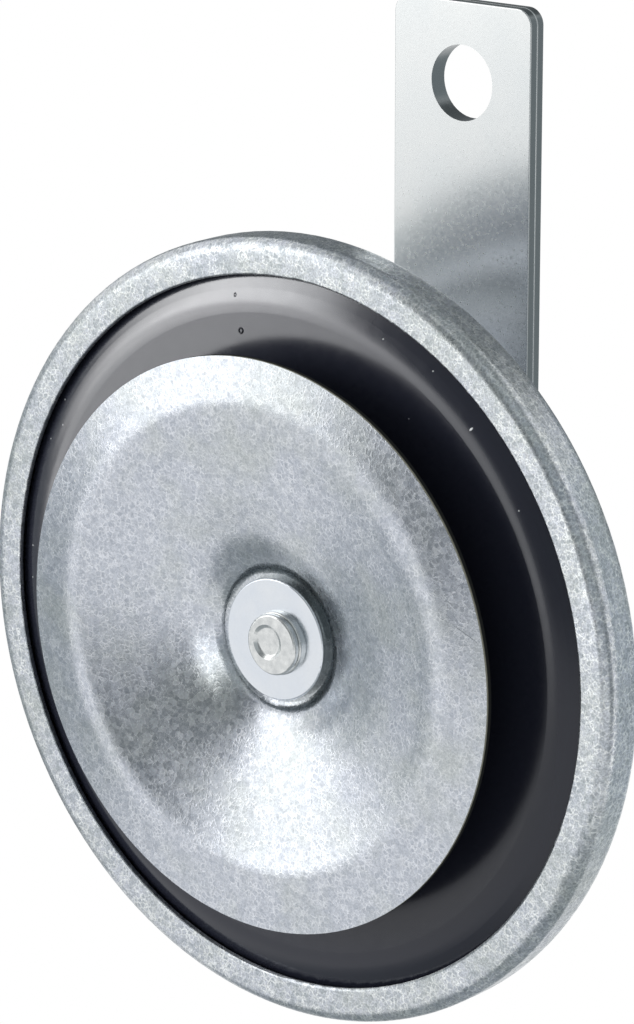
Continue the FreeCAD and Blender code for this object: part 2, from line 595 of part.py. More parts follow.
def make_magnet():
    """Pole core with the mounting stud turned on it, yoke cup, bobbin and winding."""
    turned("pole_core", [
        ("0", CORE_FRONT),
        ("core_radius - core_edge", CORE_FRONT),
        ("core_radius", f"{CORE_FRONT} + core_edge"),
        ("core_radius", YOKE_FLOOR),
        ("mount_stud_radius", YOKE_FLOOR),
        ("mount_stud_radius", f"{STUD_REAR} - mount_stud_bevel"),
        ("mount_stud_radius - mount_stud_bevel", STUD_REAR),
        ("0", STUD_REAR)])
    turned("yoke_cup", [
        (STUD_HOLE, YOKE_FLOOR),
        ("yoke_radius - yoke_sheet", YOKE_FLOOR, "yoke_bend"),
        ("yoke_radius - yoke_sheet", CORE_FRONT),
        ("yoke_radius", CORE_FRONT),
        ("yoke_radius", HOUSING_FLOOR, "yoke_bend + yoke_sheet"),
        (STUD_HOLE, HOUSING_FLOOR)])
    bore = "(core_radius + bobbin_gap)"
    tube = f"({bore} + bobbin_wall)"
    turned("coil_bobbin", [
        (bore, BOBBIN_FRONT),
        (BOBBIN_RADIUS, BOBBIN_FRONT),
        (BOBBIN_RADIUS, f"{BOBBIN_FRONT} + bobbin_flange"),
        (tube, f"{BOBBIN_FRONT} + bobbin_flange"),
        (tube, f"{YOKE_FLOOR} - bobbin_flange"),
        (BOBBIN_RADIUS, f"{YOKE_FLOOR} - bobbin_flange"),
        (BOBBIN_RADIUS, YOKE_FLOOR),
        (bore, YOKE_FLOOR)])
    ring("coil_winding", tube, f"({BOBBIN_RADIUS} - winding_inset)",
         f"({BOBBIN_FRONT} + bobbin_flange)", f"({YOKE_FLOOR} - bobbin_flange)")


def make_housing():
    """Drawn steel cup: clamped flange, tapered wall, shoulder and boss, with holes for what it carries."""
    inside = "housing_bend"
    outside = "housing_bend + housing_sheet"
    housing = turned("housing", [
        (CHANNEL_RADIUS, FLANGE_FRONT),
        (CHANNEL_RADIUS, FLANGE_REAR, "rim_rear_bend - rim_sheet"),
        (f"{CUP_RADIUS} + housing_wall", FLANGE_REAR, inside),
        (f"{SHOULDER_RADIUS} + housing_wall", "shoulder_depth", "shoulder_bend + housing_sheet"),
        (f"{BOSS_RADIUS} + housing_wall", "shoulder_depth", inside),
        (f"{BOSS_REAR_RADIUS} + housing_wall", "housing_depth", outside),
        (STUD_HOLE, "housing_depth"),
        (STUD_HOLE, HOUSING_FLOOR),
        (BOSS_REAR_RADIUS, HOUSING_FLOOR, inside),
        (BOSS_RADIUS, SHOULDER_FRONT, outside),
        (SHOULDER_RADIUS, SHOULDER_FRONT, "shoulder_bend"),
        (CUP_RADIUS, FLANGE_FRONT, outside)])
    sketch = new_sketch(housing, "XZ_Plane", "housing_shoulder_holes")
    draw_circle(sketch, SCREW_X, "screw_offset", "screw_radius")
    draw_circle(sketch, RIVET_AT, "0", "rivet_radius")
    terminal_hole = "terminal_rivet_radius + terminal_clear"
    draw_circle(sketch, "blade_spread", f"-{TERMINAL_RIVET_AT}", terminal_hole)
    draw_circle(sketch, "-blade_spread", f"-{TERMINAL_RIVET_AT}", terminal_hole)
    holes = housing.newObject("PartDesign::Pocket", "housing_punching")
    holes.Profile = sketch
    holes.Type = "Length"
    holes.Reversed = False
    bind(holes, "Length", "housing_depth")


def make_bracket():
    """Two like strips, one behind the other, with the mounting hole above and the stud hole below."""
    half = "(bracket_width / 2)"
    top = "(hole_height + bracket_top)"
    for label, front in (("bracket_front_leaf", "housing_depth"), ("bracket_rear_leaf", REAR_LEAF_FRONT)):
        leaf = flat_piece(
            label,
            [(f"-{half}", "-bracket_foot", "foot_corner"),
             (half, "-bracket_foot", "foot_corner"),
             (half, top, "bracket_corner"),
             (f"-{half}", top, "bracket_corner")],
            [("0", "hole_height", "bracket_hole"), ("0", "0", STUD_HOLE)],
            front, "leaf_thick")
        hole_edge = max(value("bracket_hole"), value(STUD_HOLE))
        round_edges(leaf, label + "_edges", "leaf_edge", lambda edge: (
            edge.BoundBox.YLength < 1e-6
            and not (len(edge.Vertexes) == 1 and edge.Curve.Radius <= hole_edge + 1e-6)))
    ring("bracket_washer", STUD_HOLE, "mount_washer_radius", BRACKET_REAR, NUT_FRONT)
    hexagon_nut("bracket_nut", "nut_flats", "nut_thick", "mount_stud_radius", NUT_FRONT)


def stack_piece(label, front, thickness, hole_gap):
    """One layer of the clamped contact stack."""
    half = "(clamp_width / 2)"
    hole = f"rivet_radius + {hole_gap}"
    return flat_piece(
        label,
        [(CLAMP_INNER, f"-{half}"), (CLAMP_OUTER, f"-{half}"), (CLAMP_OUTER, half), (CLAMP_INNER, half)],
        [(RIVET_AT, "rivet_spread", hole), (RIVET_AT, "-rivet_spread", hole)],
        front, thickness)


def make_contact_carrier():
    """Strip bent to a C that stands on the shoulder and holds the contact stack."""
    body = new_body("contact_carrier")
    sketch = new_sketch(body, "XY_Plane", "contact_carrier_section")
    inside = "carrier_bend"
    outside = "carrier_bend + carrier_sheet"
    draw_outline(sketch, [
        (CLAMP_INNER, CARRIER_FRONT),
        (CLAMP_OUTER, CARRIER_FRONT, outside),
        (CLAMP_OUTER, SHOULDER_FRONT, outside),
        (CLAMP_INNER, SHOULDER_FRONT),
        (CLAMP_INNER, f"{SHOULDER_FRONT} - carrier_sheet"),
        (f"{CLAMP_OUTER} - carrier_sheet", f"{SHOULDER_FRONT} - carrier_sheet", inside),
        (f"{CLAMP_OUTER} - carrier_sheet", f"{CARRIER_FRONT} + carrier_sheet", inside),
        (CLAMP_INNER, f"{CARRIER_FRONT} + carrier_sheet")])
    strip = body.newObject("PartDesign::Pad", "contact_carrier_strip")
    strip.Profile = sketch
    bind(strip, "Length", "carrier_width")
    strip.Midplane = True
    middle = f"(({CARRIER_FRONT} + {SHOULDER_FRONT}) / 2)"
    for name, radius, offsets, rearward in (
            ("stack_holes", "rivet_radius", ("rivet_spread", "-rivet_spread"), False),
            ("foot_hole", "rivet_radius", ("0",), True)):
        punched = new_sketch(body, "XZ_Plane", "contact_carrier_" + name)
        punched.setExpression("AttachmentOffset.Base.z", bound(f"-{middle}"))
        for offset in offsets:
            draw_circle(punched, RIVET_AT, offset, radius)
        pocket = body.newObject("PartDesign::Pocket", "contact_carrier_punched_" + name)
        pocket.Profile = punched
        bind(pocket, "Length", f"{SHOULDER_FRONT} - {CARRIER_FRONT}")
        pocket.Reversed = not rearward
    register(body, "contact_carrier")


def make_breaker():
    """Contact breaker: carrier, insulators, spring, arms, contacts, pusher and rivets."""
    make_contact_carrier()
    stack_piece("rear_insulator", REAR_INSULATOR_FRONT, "insulator_thick", "0")
    stack_piece("middle_insulator", FIXED_ARM_REAR, f"{SPRING_FRONT} - {FIXED_ARM_REAR}", "0")
    stack_piece("front_insulator", FRONT_INSULATOR_FRONT, "insulator_thick", "0")
    half = "(arm_width / 2)"
    rivet_hole = "rivet_radius + rivet_clear"
    flat_piece(
        "contact_spring",
        [(SPRING_TIP, f"-{half}"), (CLAMP_INNER, f"-{half}"),
         (CLAMP_INNER, "-clamp_width / 2"), (CLAMP_OUTER, "-clamp_width / 2"),
         (CLAMP_OUTER, "clamp_width / 2"), (CLAMP_INNER, "clamp_width / 2"),
         (CLAMP_INNER, half), (SPRING_TIP, half)],
        [(RIVET_AT, "rivet_spread", rivet_hole), (RIVET_AT, "-rivet_spread", rivet_hole)],
        SPRING_FRONT, "spring_sheet")
    flat_piece(
        "moving_contact_arm",
        [(ARM_TIP, f"-{half}", "pusher_radius"), (ARM_ROOT, f"-{half}"),
         (ARM_ROOT, half), (ARM_TIP, half, "pusher_radius")],
        [], ARM_FRONT, "arm_sheet")
    tab_edge = "(screw_offset + tab_margin)"
    flat_piece(
        "fixed_contact_arm",
        [(FIXED_ARM_TIP, f"-{half}", "contact_radius"), (CLAMP_INNER, f"-{half}"),
         (CLAMP_INNER, "-clamp_width / 2"), (CLAMP_OUTER, "-clamp_width / 2"),
         (CLAMP_OUTER, "clamp_width / 2"), (f"{SCREW_X} + tab_margin", "clamp_width / 2"),
         (f"{SCREW_X} + tab_margin", tab_edge, "tab_margin / 2"),
         (f"{SCREW_X} - tab_margin", tab_edge, "tab_margin / 2"),
         (f"{SCREW_X} - tab_margin", half), (FIXED_ARM_TIP, half, "contact_radius")],
        [(RIVET_AT, "rivet_spread", rivet_hole), (RIVET_AT, "-rivet_spread", rivet_hole)],
        FIXED_ARM_FRONT, "arm_sheet")
    register(
        rod("moving_contact_disc", "contact_radius", MOVING_CONTACT_FRONT, ARM_FRONT),
        "moving_contact", CONTACT_AT, MOVING_CONTACT_FRONT)
    register(
        rod("fixed_contact_disc", "contact_radius", FIXED_ARM_REAR, MOVING_CONTACT_FRONT),
        "fixed_contact", CONTACT_AT, FIXED_ARM_REAR)
    register(
        rod("contact_pusher_pin", "pusher_radius", PUSHER_FRONT, ARM_FRONT),
        "contact_pusher", PUSHER_AT, PUSHER_FRONT)
    stack_rivets = [
        rivet("stack_rivet" + side, "rivet_radius", "rivet_head_radius", "rivet_head_thick",
              FRONT_INSULATOR_FRONT, f"({CARRIER_FRONT} + carrier_sheet)", RIVET_AT, sign + "rivet_spread")
        for side, sign in (("_upper", ""), ("_lower", "-"))]
    pair = document.addObject("Part::Compound", "stack_rivet_pair")
    pair.Links = stack_rivets
    register(pair, "stack_rivets")
    register(
        rivet("carrier_rivet_blank", "rivet_radius", "rivet_head_radius", "rivet_head_thick",
              f"({SHOULDER_FRONT} - carrier_sheet)", "shoulder_depth", RIVET_AT, "0"),
        "carrier_rivet")


def make_adjusting_screw():
    """Slotted screw through the shoulder, its point on the fixed arm's tab, held by a lock nut."""
    rear = "(shoulder_depth + lock_nut_thick + screw_proud)"
    shank = rod("adjusting_screw_shank", "screw_radius", FIXED_ARM_REAR, rear, SCREW_X, "screw_offset")
    slot = document.addObject("Part::Box", "adjusting_screw_slot")
    bind(slot, "Length", "4 * screw_radius")
    bind(slot, "Width", "slot_depth")
    bind(slot, "Height", "slot_width")
    bind(slot, "Placement.Base.x", f"{SCREW_X} - 2 * screw_radius")
    bind(slot, "Placement.Base.y", f"{rear} - slot_depth")
    bind(slot, "Placement.Base.z", "screw_offset - slot_width / 2")
    register(cut("adjusting_screw_blank", shank, slot), "adjusting_screw")
    hexagon_nut("lock_nut", "lock_nut_flats", "lock_nut_thick", "screw_radius",
                "shoulder_depth", SCREW_X, "screw_offset")


def make_terminal_blade(label, x):
    """Bent blade: a foot on the insulator and a flat tab that stands rearwards."""
    body = new_body(label)
    sketch = new_sketch(body, "YZ_Plane", label + "_section")
    tab_near = f"(-{BLOCK_NEAR} - blade_margin)"
    tab_far = f"({tab_near} - blade_sheet)"
    foot_end = f"(-{BLOCK_FAR} + blade_margin)"
    draw_outline(sketch, [
        ("0", foot_end),
        ("blade_sheet", foot_end),
        ("blade_sheet", tab_far, "blade_bend"),
        ("blade_sheet + blade_length", tab_far),
        ("blade_sheet + blade_length", tab_near),
        ("0", tab_near, "blade_bend + blade_sheet")])
    strip = body.newObject("PartDesign::Pad", label + "_strip")
    strip.Profile = sketch
    bind(strip, "Length", "blade_width")
    strip.Midplane = True
    tip = value("blade_sheet + blade_length")
    bevel_edges(body, label + "_bevel", "blade_bevel", lambda edge: (
        edge.BoundBox.XLength < 1e-6
        and edge.BoundBox.YLength < 1e-6
        and abs(edge.CenterOfMass.y - tip) < 1e-6))
    foot_hole = new_sketch(body, "XZ_Plane", label + "_foot_hole")
    draw_circle(foot_hole, "0", f"-{TERMINAL_RIVET_AT}", "terminal_rivet_radius")
    punched = body.newObject("PartDesign::Pocket", label + "_foot_punched")
    punched.Profile = foot_hole
    bind(punched, "Length", "blade_sheet")
    tab_hole = new_sketch(body, "XY_Plane", label + "_tab_hole")
    tab_hole.setExpression("AttachmentOffset.Base.z", bound(tab_near))
    draw_circle(tab_hole, "0", "blade_sheet + blade_length - blade_hole_at", "blade_hole")
    pierced = body.newObject("PartDesign::Pocket", label + "_tab_pierced")
    pierced.Profile = tab_hole
    bind(pierced, "Length", "2 * blade_sheet")
    register(body, label, x, BLOCK_REAR)


def make_terminals():
    """Two blades on an insulator outside the shoulder, riveted through to a lining inside it."""
    half = "(block_width / 2)"
    outline = [
        (f"-{half}", f"-{BLOCK_FAR}", "block_corner"),
        (half, f"-{BLOCK_FAR}", "block_corner"),
        (half, f"-{BLOCK_NEAR}", "block_corner"),
        (f"-{half}", f"-{BLOCK_NEAR}", "block_corner")]
    holes = [(sign + "blade_spread", f"-{TERMINAL_RIVET_AT}", "terminal_rivet_radius") for sign in ("", "-")]
    flat_piece("terminal_insulator", outline, holes, "shoulder_depth", "block_thick")
    lining_front = f"({SHOULDER_FRONT} - lining_thick)"
    flat_piece("terminal_lining", outline, holes, lining_front, "lining_thick")
    make_terminal_blade("terminal_blade_left", "-blade_spread")
    make_terminal_blade("terminal_blade_right", "blade_spread")
    rivets = [
        rivet("terminal_rivet" + side, "terminal_rivet_radius", "terminal_head_radius", "terminal_head_thick",
              lining_front, f"({BLOCK_REAR} + blade_sheet)", sign + "blade_spread", f"-{TERMINAL_RIVET_AT}")
        for side, sign in (("_right", ""), ("_left", "-"))]
    pair = document.addObject("Part::Compound", "terminal_rivet_pair")
    pair.Links = rivets
    register(pair, "terminal_rivets")


def check_document():
    """Stop if any object failed or any sub-part is not a sound solid."""
    for item in document.Objects:
        failed = {"Invalid", "Error"} & set(item.State)
        if failed:
            raise RuntimeError(f"{item.Name} is {sorted(failed)}")
    for label, item in subparts.items():
        shape = item.Shape
        if shape.isNull() or not shape.isValid() or not shape.Solids:
            raise RuntimeError(f"{label} is not a sound solid")


def write_steps():
    """Write each sub-part to a STEP file under its own name."""
    os.makedirs("parts", exist_ok=True)
    for label, item in subparts.items():
        item.Shape.exportStep(f"parts/{label}.step")
        box = item.Shape.BoundBox
        print(f"{label}: {len(item.Shape.Solids)} solid(s), {item.Shape.Volume:.1f} mm3, "
              f"x {box.XMin:.2f} {box.XMax:.2f}, y {box.YMin:.2f} {box.YMax:.2f}, "
              f"z {box.ZMin:.2f} {box.ZMax:.2f}")


make_rim()
make_gaskets()
make_diaphragm()
make_tone_disc()
make_centre_stack()
make_armature()
make_magnet()
make_housing()
make_bracket()
make_breaker()
make_adjusting_screw()
make_terminals()
document.recompute()
check_document()
write_steps()
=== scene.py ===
import json
import logging
import math
from dataclasses import dataclass, field
from enum import Enum

import bpy
from bpy.types import Material, Node, Object
from bpy.types import NodeSocket as Socket
from bpy.types import NodeTree as Tree
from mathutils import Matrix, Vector


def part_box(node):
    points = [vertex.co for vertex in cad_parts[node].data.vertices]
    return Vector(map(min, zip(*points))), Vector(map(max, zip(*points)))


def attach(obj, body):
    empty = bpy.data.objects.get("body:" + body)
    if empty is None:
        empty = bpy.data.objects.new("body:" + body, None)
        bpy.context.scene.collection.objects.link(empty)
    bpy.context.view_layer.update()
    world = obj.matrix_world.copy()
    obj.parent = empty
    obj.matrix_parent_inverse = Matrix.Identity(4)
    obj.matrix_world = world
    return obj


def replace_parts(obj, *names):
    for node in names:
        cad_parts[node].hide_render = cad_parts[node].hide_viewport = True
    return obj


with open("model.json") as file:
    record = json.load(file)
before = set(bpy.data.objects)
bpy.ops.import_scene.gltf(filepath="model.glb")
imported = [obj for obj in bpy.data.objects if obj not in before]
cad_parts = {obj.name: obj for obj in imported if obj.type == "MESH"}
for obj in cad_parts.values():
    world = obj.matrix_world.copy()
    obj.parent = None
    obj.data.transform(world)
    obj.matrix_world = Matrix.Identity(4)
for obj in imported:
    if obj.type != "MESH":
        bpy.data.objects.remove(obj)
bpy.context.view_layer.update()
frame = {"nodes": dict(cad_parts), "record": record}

MM = 0.001
LOG = logging.getLogger("disc_horn")

# The sRGB curve: a straight toe, then a power.
TOE_END, TOE_SLOPE = 0.04045, 12.92
CURVE_LIFT, CURVE_POWER = 0.055, 2.4

# Most of a noise texture's values lie between these.
NOISE_LOW, NOISE_HIGH = 0.3, 0.7

# Two faces that meet more steeply than this show an edge.
SHARP_ANGLE = math.radians(32)

Colour = tuple[float, float, float, float]
Point = tuple[float, float, float]
Materials = dict[str, Material]

WHITE: Colour = (1.0, 1.0, 1.0, 1.0)


class Body(Enum):
    """The bodies that the pieces ride on."""

    CASING = "casing"
    STRIKER = "striker"


class VoronoiPart(Enum):
    """Which measure of a cell pattern a material uses."""

    NEAREST = "F1"
    BORDER = "DISTANCE_TO_EDGE"


def linear(code: str) -> Colour:
    """Turn an sRGB colour into Blender's linear colour.

    Args:
        code: Six hex digits.

    Returns:
        Linear red, green, blue and an alpha of 1.
    """
    shares = [channel / 255 for channel in bytes.fromhex(code)]
    red, green, blue = (
        share / TOE_SLOPE if share <= TOE_END else ((share + CURVE_LIFT) / (1 + CURVE_LIFT)) ** CURVE_POWER
        for share in shares)
    return (red, green, blue, 1.0)


def give(tree: Tree, node: Node, inputs: dict[str | int, object]) -> None:
    """Set a node's inputs or link them.

    Args:
        tree: The node's tree.
        node: The node.
        inputs: A value or an output socket for each input, by name or number.
    """
    for name, given in inputs.items():
        socket = node.inputs[name]
        if isinstance(given, Socket):
            tree.links.new(given, socket)
        else:
            socket.default_value = given


def add_node(
    tree: Tree,
    kind: str,
    inputs: dict[str | int, object] | None = None,
    **settings: object,
) -> Node:
    """Add a shader node with its settings, values and links.

    Args:
        tree: The node tree that gets the node.
        kind: Blender's name of the node's type, without ShaderNode before it.
        inputs: A value or an output socket for each input, by name or number.
        **settings: Properties of the node, such as its operation.

    Returns:
        The new node.
    """
    node = tree.nodes.new("ShaderNode" + kind)
    for name, setting in settings.items():
        setattr(node, name, setting)
    give(tree, node, inputs or {})
    return node


def new_material(name: str) -> tuple[Material, Tree, Node]:
    """Make a material.

    Args:
        name: The material's name.

    Returns:
        The material, its tree and its shader.
    """
    material = bpy.data.materials.new(name)
    material.use_nodes = True
    tree = material.node_tree
    return material, tree, tree.nodes["Principled BSDF"]


def direction(azimuth: float, elevation: float) -> Vector:
    """Give a direction from the horn.

    Args:
        azimuth: Degrees from straight in front towards +X.
        elevation: Degrees above the horizon.

    Returns:
        The direction, of length 1.
    """
    turn, rise = math.radians(azimuth), math.radians(elevation)
    return Vector((math.sin(turn) * math.cos(rise), -math.cos(turn) * math.cos(rise), math.sin(rise)))


def new_mesh(name: str, points: list[Point], faces: list[tuple[int, ...]]) -> Object:
    """Make a smooth mesh object from points and faces.

    Args:
        name: The piece's name.
        points: Corners, in metres.
        faces: Corner numbers of each face, seen anticlockwise from outside.

    Returns:
        The new object.
    """
    mesh = bpy.data.meshes.new(name)
    mesh.from_pydata(points, [], faces)
    mesh.polygons.foreach_set("use_smooth", [True] * len(mesh.polygons))
    mesh.update()
    made = bpy.data.objects.new(name, mesh)
    bpy.context.scene.collection.objects.link(made)
    return made


@dataclass(frozen=True)
class HornAxis:
    """The horn's axis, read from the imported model: it runs along +Y through the pole core."""

    x: float
    z: float
    front: float

    @classmethod
    def from_frame(cls) -> "HornAxis":
        """Read the axis from the pole core's box, and the rim's front from the rim's.

        Returns:
            The axis.
        """
        low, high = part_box("pole_core")
        rim_low, rim_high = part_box("rim_ring")
        return cls((low.x + high.x) / 2, (low.z + high.z) / 2, rim_low.y)

    def middle(self) -> Vector:
        """Give the point of the axis that is level with the rim's front."""
        return Vector((self.x, self.front, self.z))

    def outward(self, clock: float) -> Vector:
        """Give the direction straight out from the axis at a clock angle in degrees from the top."""
        turn = math.radians(clock)
        return Vector((math.sin(turn), 0.0, math.cos(turn)))

    def radius(self, spot: Vector) -> float:
        """Give a place's distance from the axis in metres."""
        return math.hypot(spot.x - self.x, spot.z - self.z)


AXIS = HornAxis.from_frame()


def corners(node: str) -> list[Vector]:
    """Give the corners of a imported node's mesh in the row frame."""
    return [corner.co for corner in frame["nodes"][node].data.vertices]


@dataclass(frozen=True)
class Finish:
    """What every finish shares: its name, and the shader that it starts from."""

    name: str

    def start(self) -> tuple[Material, Tree, Node, Socket]:
        """Make an empty material of this name.

        Returns:
            The material, its tree, its shader and the place on the object in metres.
        """
        material, tree, shader = new_material(self.name)
        place = add_node(tree, "TexCoord").outputs["Object"]
        return material, tree, shader, place

    def build(self) -> Material:
        """Make the finish's material."""
        raise NotImplementedError


# How near to a round node's greatest radius a corner lies that belongs to its edge.
EDGE_BAND_MM = 0.1


def front_at_edge(node: str) -> float:
    """Give how far forward a round node's outermost edge reaches.

    Args:
        node: A node that is round about the horn's axis.

    Returns:
        The edge's lowest Y in metres.
    """
    spots = corners(node)
    reach = max(AXIS.radius(spot) for spot in spots)
    return min(spot.y for spot in spots if AXIS.radius(spot) > reach - EDGE_BAND_MM * MM)


# The share of a normal along Y at which an edge starts to turn into a face, and at which it has done so.
EDGE_FACING, SHEET_FACING = 0.25, 0.6


def sheet_share(tree: Tree) -> Socket:
    """Tell a sheet's faces from its sheared edges by where they point, so that the edges can be painted
    darker as shade.

    Args:
        tree: The material's node tree.

    Returns:
        A socket that is 1 on faces towards the front or rear and 0 on edges.
    """
    normal = add_node(tree, "TexCoord").outputs["Normal"]
    facing = add_node(tree, "SeparateXYZ", {"Vector": normal})
    depth = add_node(tree, "Math", {0: facing.outputs["Y"]}, operation="ABSOLUTE")
    return add_node(tree, "MapRange", {
        "Value": depth.outputs[0], "From Min": EDGE_FACING, "From Max": SHEET_FACING}).outputs["Result"]


def from_axis(tree: Tree, place: Socket) -> tuple[Node, Socket]:
    """Measure places from the horn's axis.

    Args:
        tree: The material's node tree.
        place: The place on the object in metres.

    Returns:
        The node that splits the place, taken from the axis, into X, Y and Z, and the distance from the axis.
    """
    arm = add_node(tree, "VectorMath", {0: place, 1: (AXIS.x, 0.0, AXIS.z)}, operation="SUBTRACT")
    flat = add_node(tree, "VectorMath", {0: arm.outputs[0], 1: (1.0, 0.0, 1.0)}, operation="MULTIPLY")
    radius = add_node(tree, "VectorMath", {0: flat.outputs[0]}, operation="LENGTH")
    return add_node(tree, "SeparateXYZ", {"Vector": arm.outputs[0]}), radius.outputs["Value"]


# Hot-dip galvanised steel sheet: frozen zinc spangle, grey grains under a millimetre across with pale ragged
# borders, satin, so that it mirrors the surroundings only as soft light and shade.
@dataclass(frozen=True)
class HotDipZinc(Finish):
    """Spangled zinc coating of rim, tone disc and housing.

    Each pressed ring is a radius in millimetres at which the sheet's slope changes, the change of slope, and
    the share by which it is greater on the left side.
    """

    grain_hex: str = "c4c9d2"
    dark_grain_hex: str = "b3b9c3"
    border_hex: str = "dadee5"
    stain_hex: str = "b7bdb4"
    spangle_mm: float = 0.62
    border_mm: float = 0.14
    ragged_scale: float = 0.5
    ragged_share: float = 0.55
    break_scale: float = 1.6
    break_between: tuple[float, float] = (0.35, 0.62)
    stain_mm: float = 9.0
    stain_share: float = 0.4
    stain_between: tuple[float, float] = (0.42, 0.68)
    speck_mm: float = 0.22
    speck_share: float = 0.14
    roughness: float = 0.25
    roughness_spread: float = 0.05
    relief_mm: float = 0.008
    border_rise: float = 0.6
    pressed_rings: tuple[tuple[float, float, float], ...] = ()
    ring_bend_mm: float = 2.4
    cut_edge_hex: str | None = None
    shaded_edge_hex: str = "3c3d3c"
    pale_front_mm: float = 0.35
    edge_roughness: float = 0.8

    def build(self) -> Material:
        """Make the zinc coating's material.

        Returns:
            The material.
        """
        material, tree, shader, place = self.start()
        ragged = add_node(tree, "TexNoise", {
            "Vector": place, "Scale": 1 / (self.ragged_scale * self.spangle_mm * MM), "Detail": 3.0})
        push = add_node(tree, "VectorMath", {
            0: ragged.outputs["Color"], 1: (0.5, 0.5, 0.5)}, operation="SUBTRACT")
        shifted = add_node(tree, "VectorMath", {
            0: push.outputs[0], 1: (self.ragged_share * self.spangle_mm * MM,) * 3, 2: place},
            operation="MULTIPLY_ADD")
        cells, borders = (
            add_node(tree, "TexVoronoi", {
                "Vector": shifted.outputs[0], "Scale": 1 / (self.spangle_mm * MM)}, feature=part.value)
            for part in (VoronoiPart.NEAREST, VoronoiPart.BORDER))
        grain = add_node(tree, "SeparateColor", {"Color": cells.outputs["Color"]})
        border = add_node(tree, "MapRange", {
            "Value": borders.outputs["Distance"], "From Min": 0.0,
            "From Max": self.border_mm / self.spangle_mm, "To Min": 1.0, "To Max": 0.0},
            interpolation_type="SMOOTHSTEP")
        broken = add_node(tree, "TexNoise", {
            "Vector": place, "Scale": 1 / (self.break_scale * self.spangle_mm * MM), "Detail": 2.0})
        shown = add_node(tree, "MapRange", {
            "Value": broken.outputs["Fac"], "From Min": self.break_between[0],
            "From Max": self.break_between[1]})
        border_shown = add_node(tree, "Math", {
            0: border.outputs["Result"], 1: shown.outputs["Result"]}, operation="MULTIPLY")
        grains = add_node(tree, "Mix", {
            "Factor": grain.outputs["Red"], 6: linear(self.grain_hex), 7: linear(self.dark_grain_hex)},
            data_type="RGBA")
        edged = add_node(tree, "Mix", {
            "Factor": border_shown.outputs[0], 6: grains.outputs[2], 7: linear(self.border_hex)},
            data_type="RGBA")
        stains = add_node(tree, "TexNoise", {
            "Vector": place, "Scale": 1 / (self.stain_mm * MM), "Detail": 4.0, "Roughness": 0.6})
        stained = add_node(tree, "MapRange", {
            "Value": stains.outputs["Fac"], "From Min": self.stain_between[0],
            "From Max": self.stain_between[1], "To Max": self.stain_share})
        toned = add_node(tree, "Mix", {
            "Factor": stained.outputs["Result"], 6: edged.outputs[2], 7: linear(self.stain_hex)},
            data_type="RGBA")
        specks = add_node(tree, "TexNoise", {
            "Vector": place, "Scale": 1 / (self.speck_mm * MM), "Detail": 2.0})
        speckle = add_node(tree, "MapRange", {
            "Value": specks.outputs["Fac"], "From Min": NOISE_LOW, "From Max": NOISE_HIGH,
            "To Min": 1 - self.speck_share, "To Max": 1 + self.speck_share})
        colour = add_node(tree, "VectorMath", {
            0: toned.outputs[2], "Scale": speckle.outputs["Result"]}, operation="SCALE").outputs[0]
        dull = add_node(tree, "MapRange", {
            "Value": grain.outputs["Green"], "To Min": self.roughness - self.roughness_spread,
            "To Max": self.roughness + self.roughness_spread}).outputs["Result"]
        # Painted shade: the tone disc's edge is darker behind its pale front.
        if self.cut_edge_hex:
            sheet = sheet_share(tree)
            colour = add_node(tree, "Mix", {
                "Factor": sheet, 6: self.edge_colour(tree, place), 7: colour}, data_type="RGBA").outputs[2]
            dull = add_node(tree, "MapRange", {
                "Value": sheet, "To Min": self.edge_roughness, "To Max": dull}).outputs["Result"]
        height = add_node(tree, "Math", {
            0: border_shown.outputs[0], 1: self.border_rise, 2: specks.outputs["Fac"]},
            operation="MULTIPLY_ADD")
        bump = add_node(tree, "Bump", {
            "Height": height.outputs[0], "Distance": self.relief_mm * MM})
        if self.pressed_rings:
            give(tree, bump, {"Normal": self.press(tree, place)})
        give(tree, shader, {
            "Base Color": colour, "Metallic": 1.0, "Roughness": dull, "Normal": bump.outputs["Normal"]})
        return material

    def edge_colour(self, tree: Tree, place: Socket) -> Socket:
        """Colour the blanked edge: pale near the front, and darker behind as painted shade.

        Args:
            tree: The material's node tree.
            place: The place on the object in metres.

        Returns:
            The edge's colour.
        """
        front = front_at_edge("tone_disc")
        depth = add_node(tree, "SeparateXYZ", {"Vector": place})
        edge_shade = add_node(tree, "MapRange", {
            "Value": depth.outputs["Y"], "From Min": front + 0.5 * self.pale_front_mm * MM,
            "From Max": front + self.pale_front_mm * MM})
        return add_node(tree, "Mix", {
            "Factor": edge_shade.outputs["Result"], 6: linear(self.cut_edge_hex), 7: linear(self.shaded_edge_hex)},
            data_type="RGBA").outputs[2]

    def press(self, tree: Tree, place: Socket) -> Socket:
        """Steepen or flatten the sheet's slopes in rings about the horn's axis.

        Args:
            tree: The material's node tree.
            place: The place on the object in metres.

        Returns:
            The normal of the pressed sheet.
        """
        arm, radius = from_axis(tree, place)
        left = add_node(tree, "Math", {0: arm.outputs["X"], 1: radius}, operation="DIVIDE")
        height = 0.0
        for start_mm, slope, left_share in self.pressed_rings:
            beyond = add_node(tree, "Math", {0: radius, 1: start_mm * MM}, operation="SUBTRACT")
            bent = add_node(tree, "Math", {
                0: beyond.outputs[0], 1: 0.0, 2: self.ring_bend_mm * MM}, operation="SMOOTH_MAX")
            uneven = add_node(tree, "MapRange", {
                "Value": left.outputs[0], "From Min": -1.0, "From Max": 0.0,
                "To Min": slope * (1 + left_share), "To Max": slope})
            height = add_node(tree, "Math", {
                0: bent.outputs[0], 1: uneven.outputs["Result"], 2: height},
                operation="MULTIPLY_ADD").outputs[0]
        return add_node(tree, "Bump", {"Height": height, "Distance": 1.0}).outputs["Normal"]


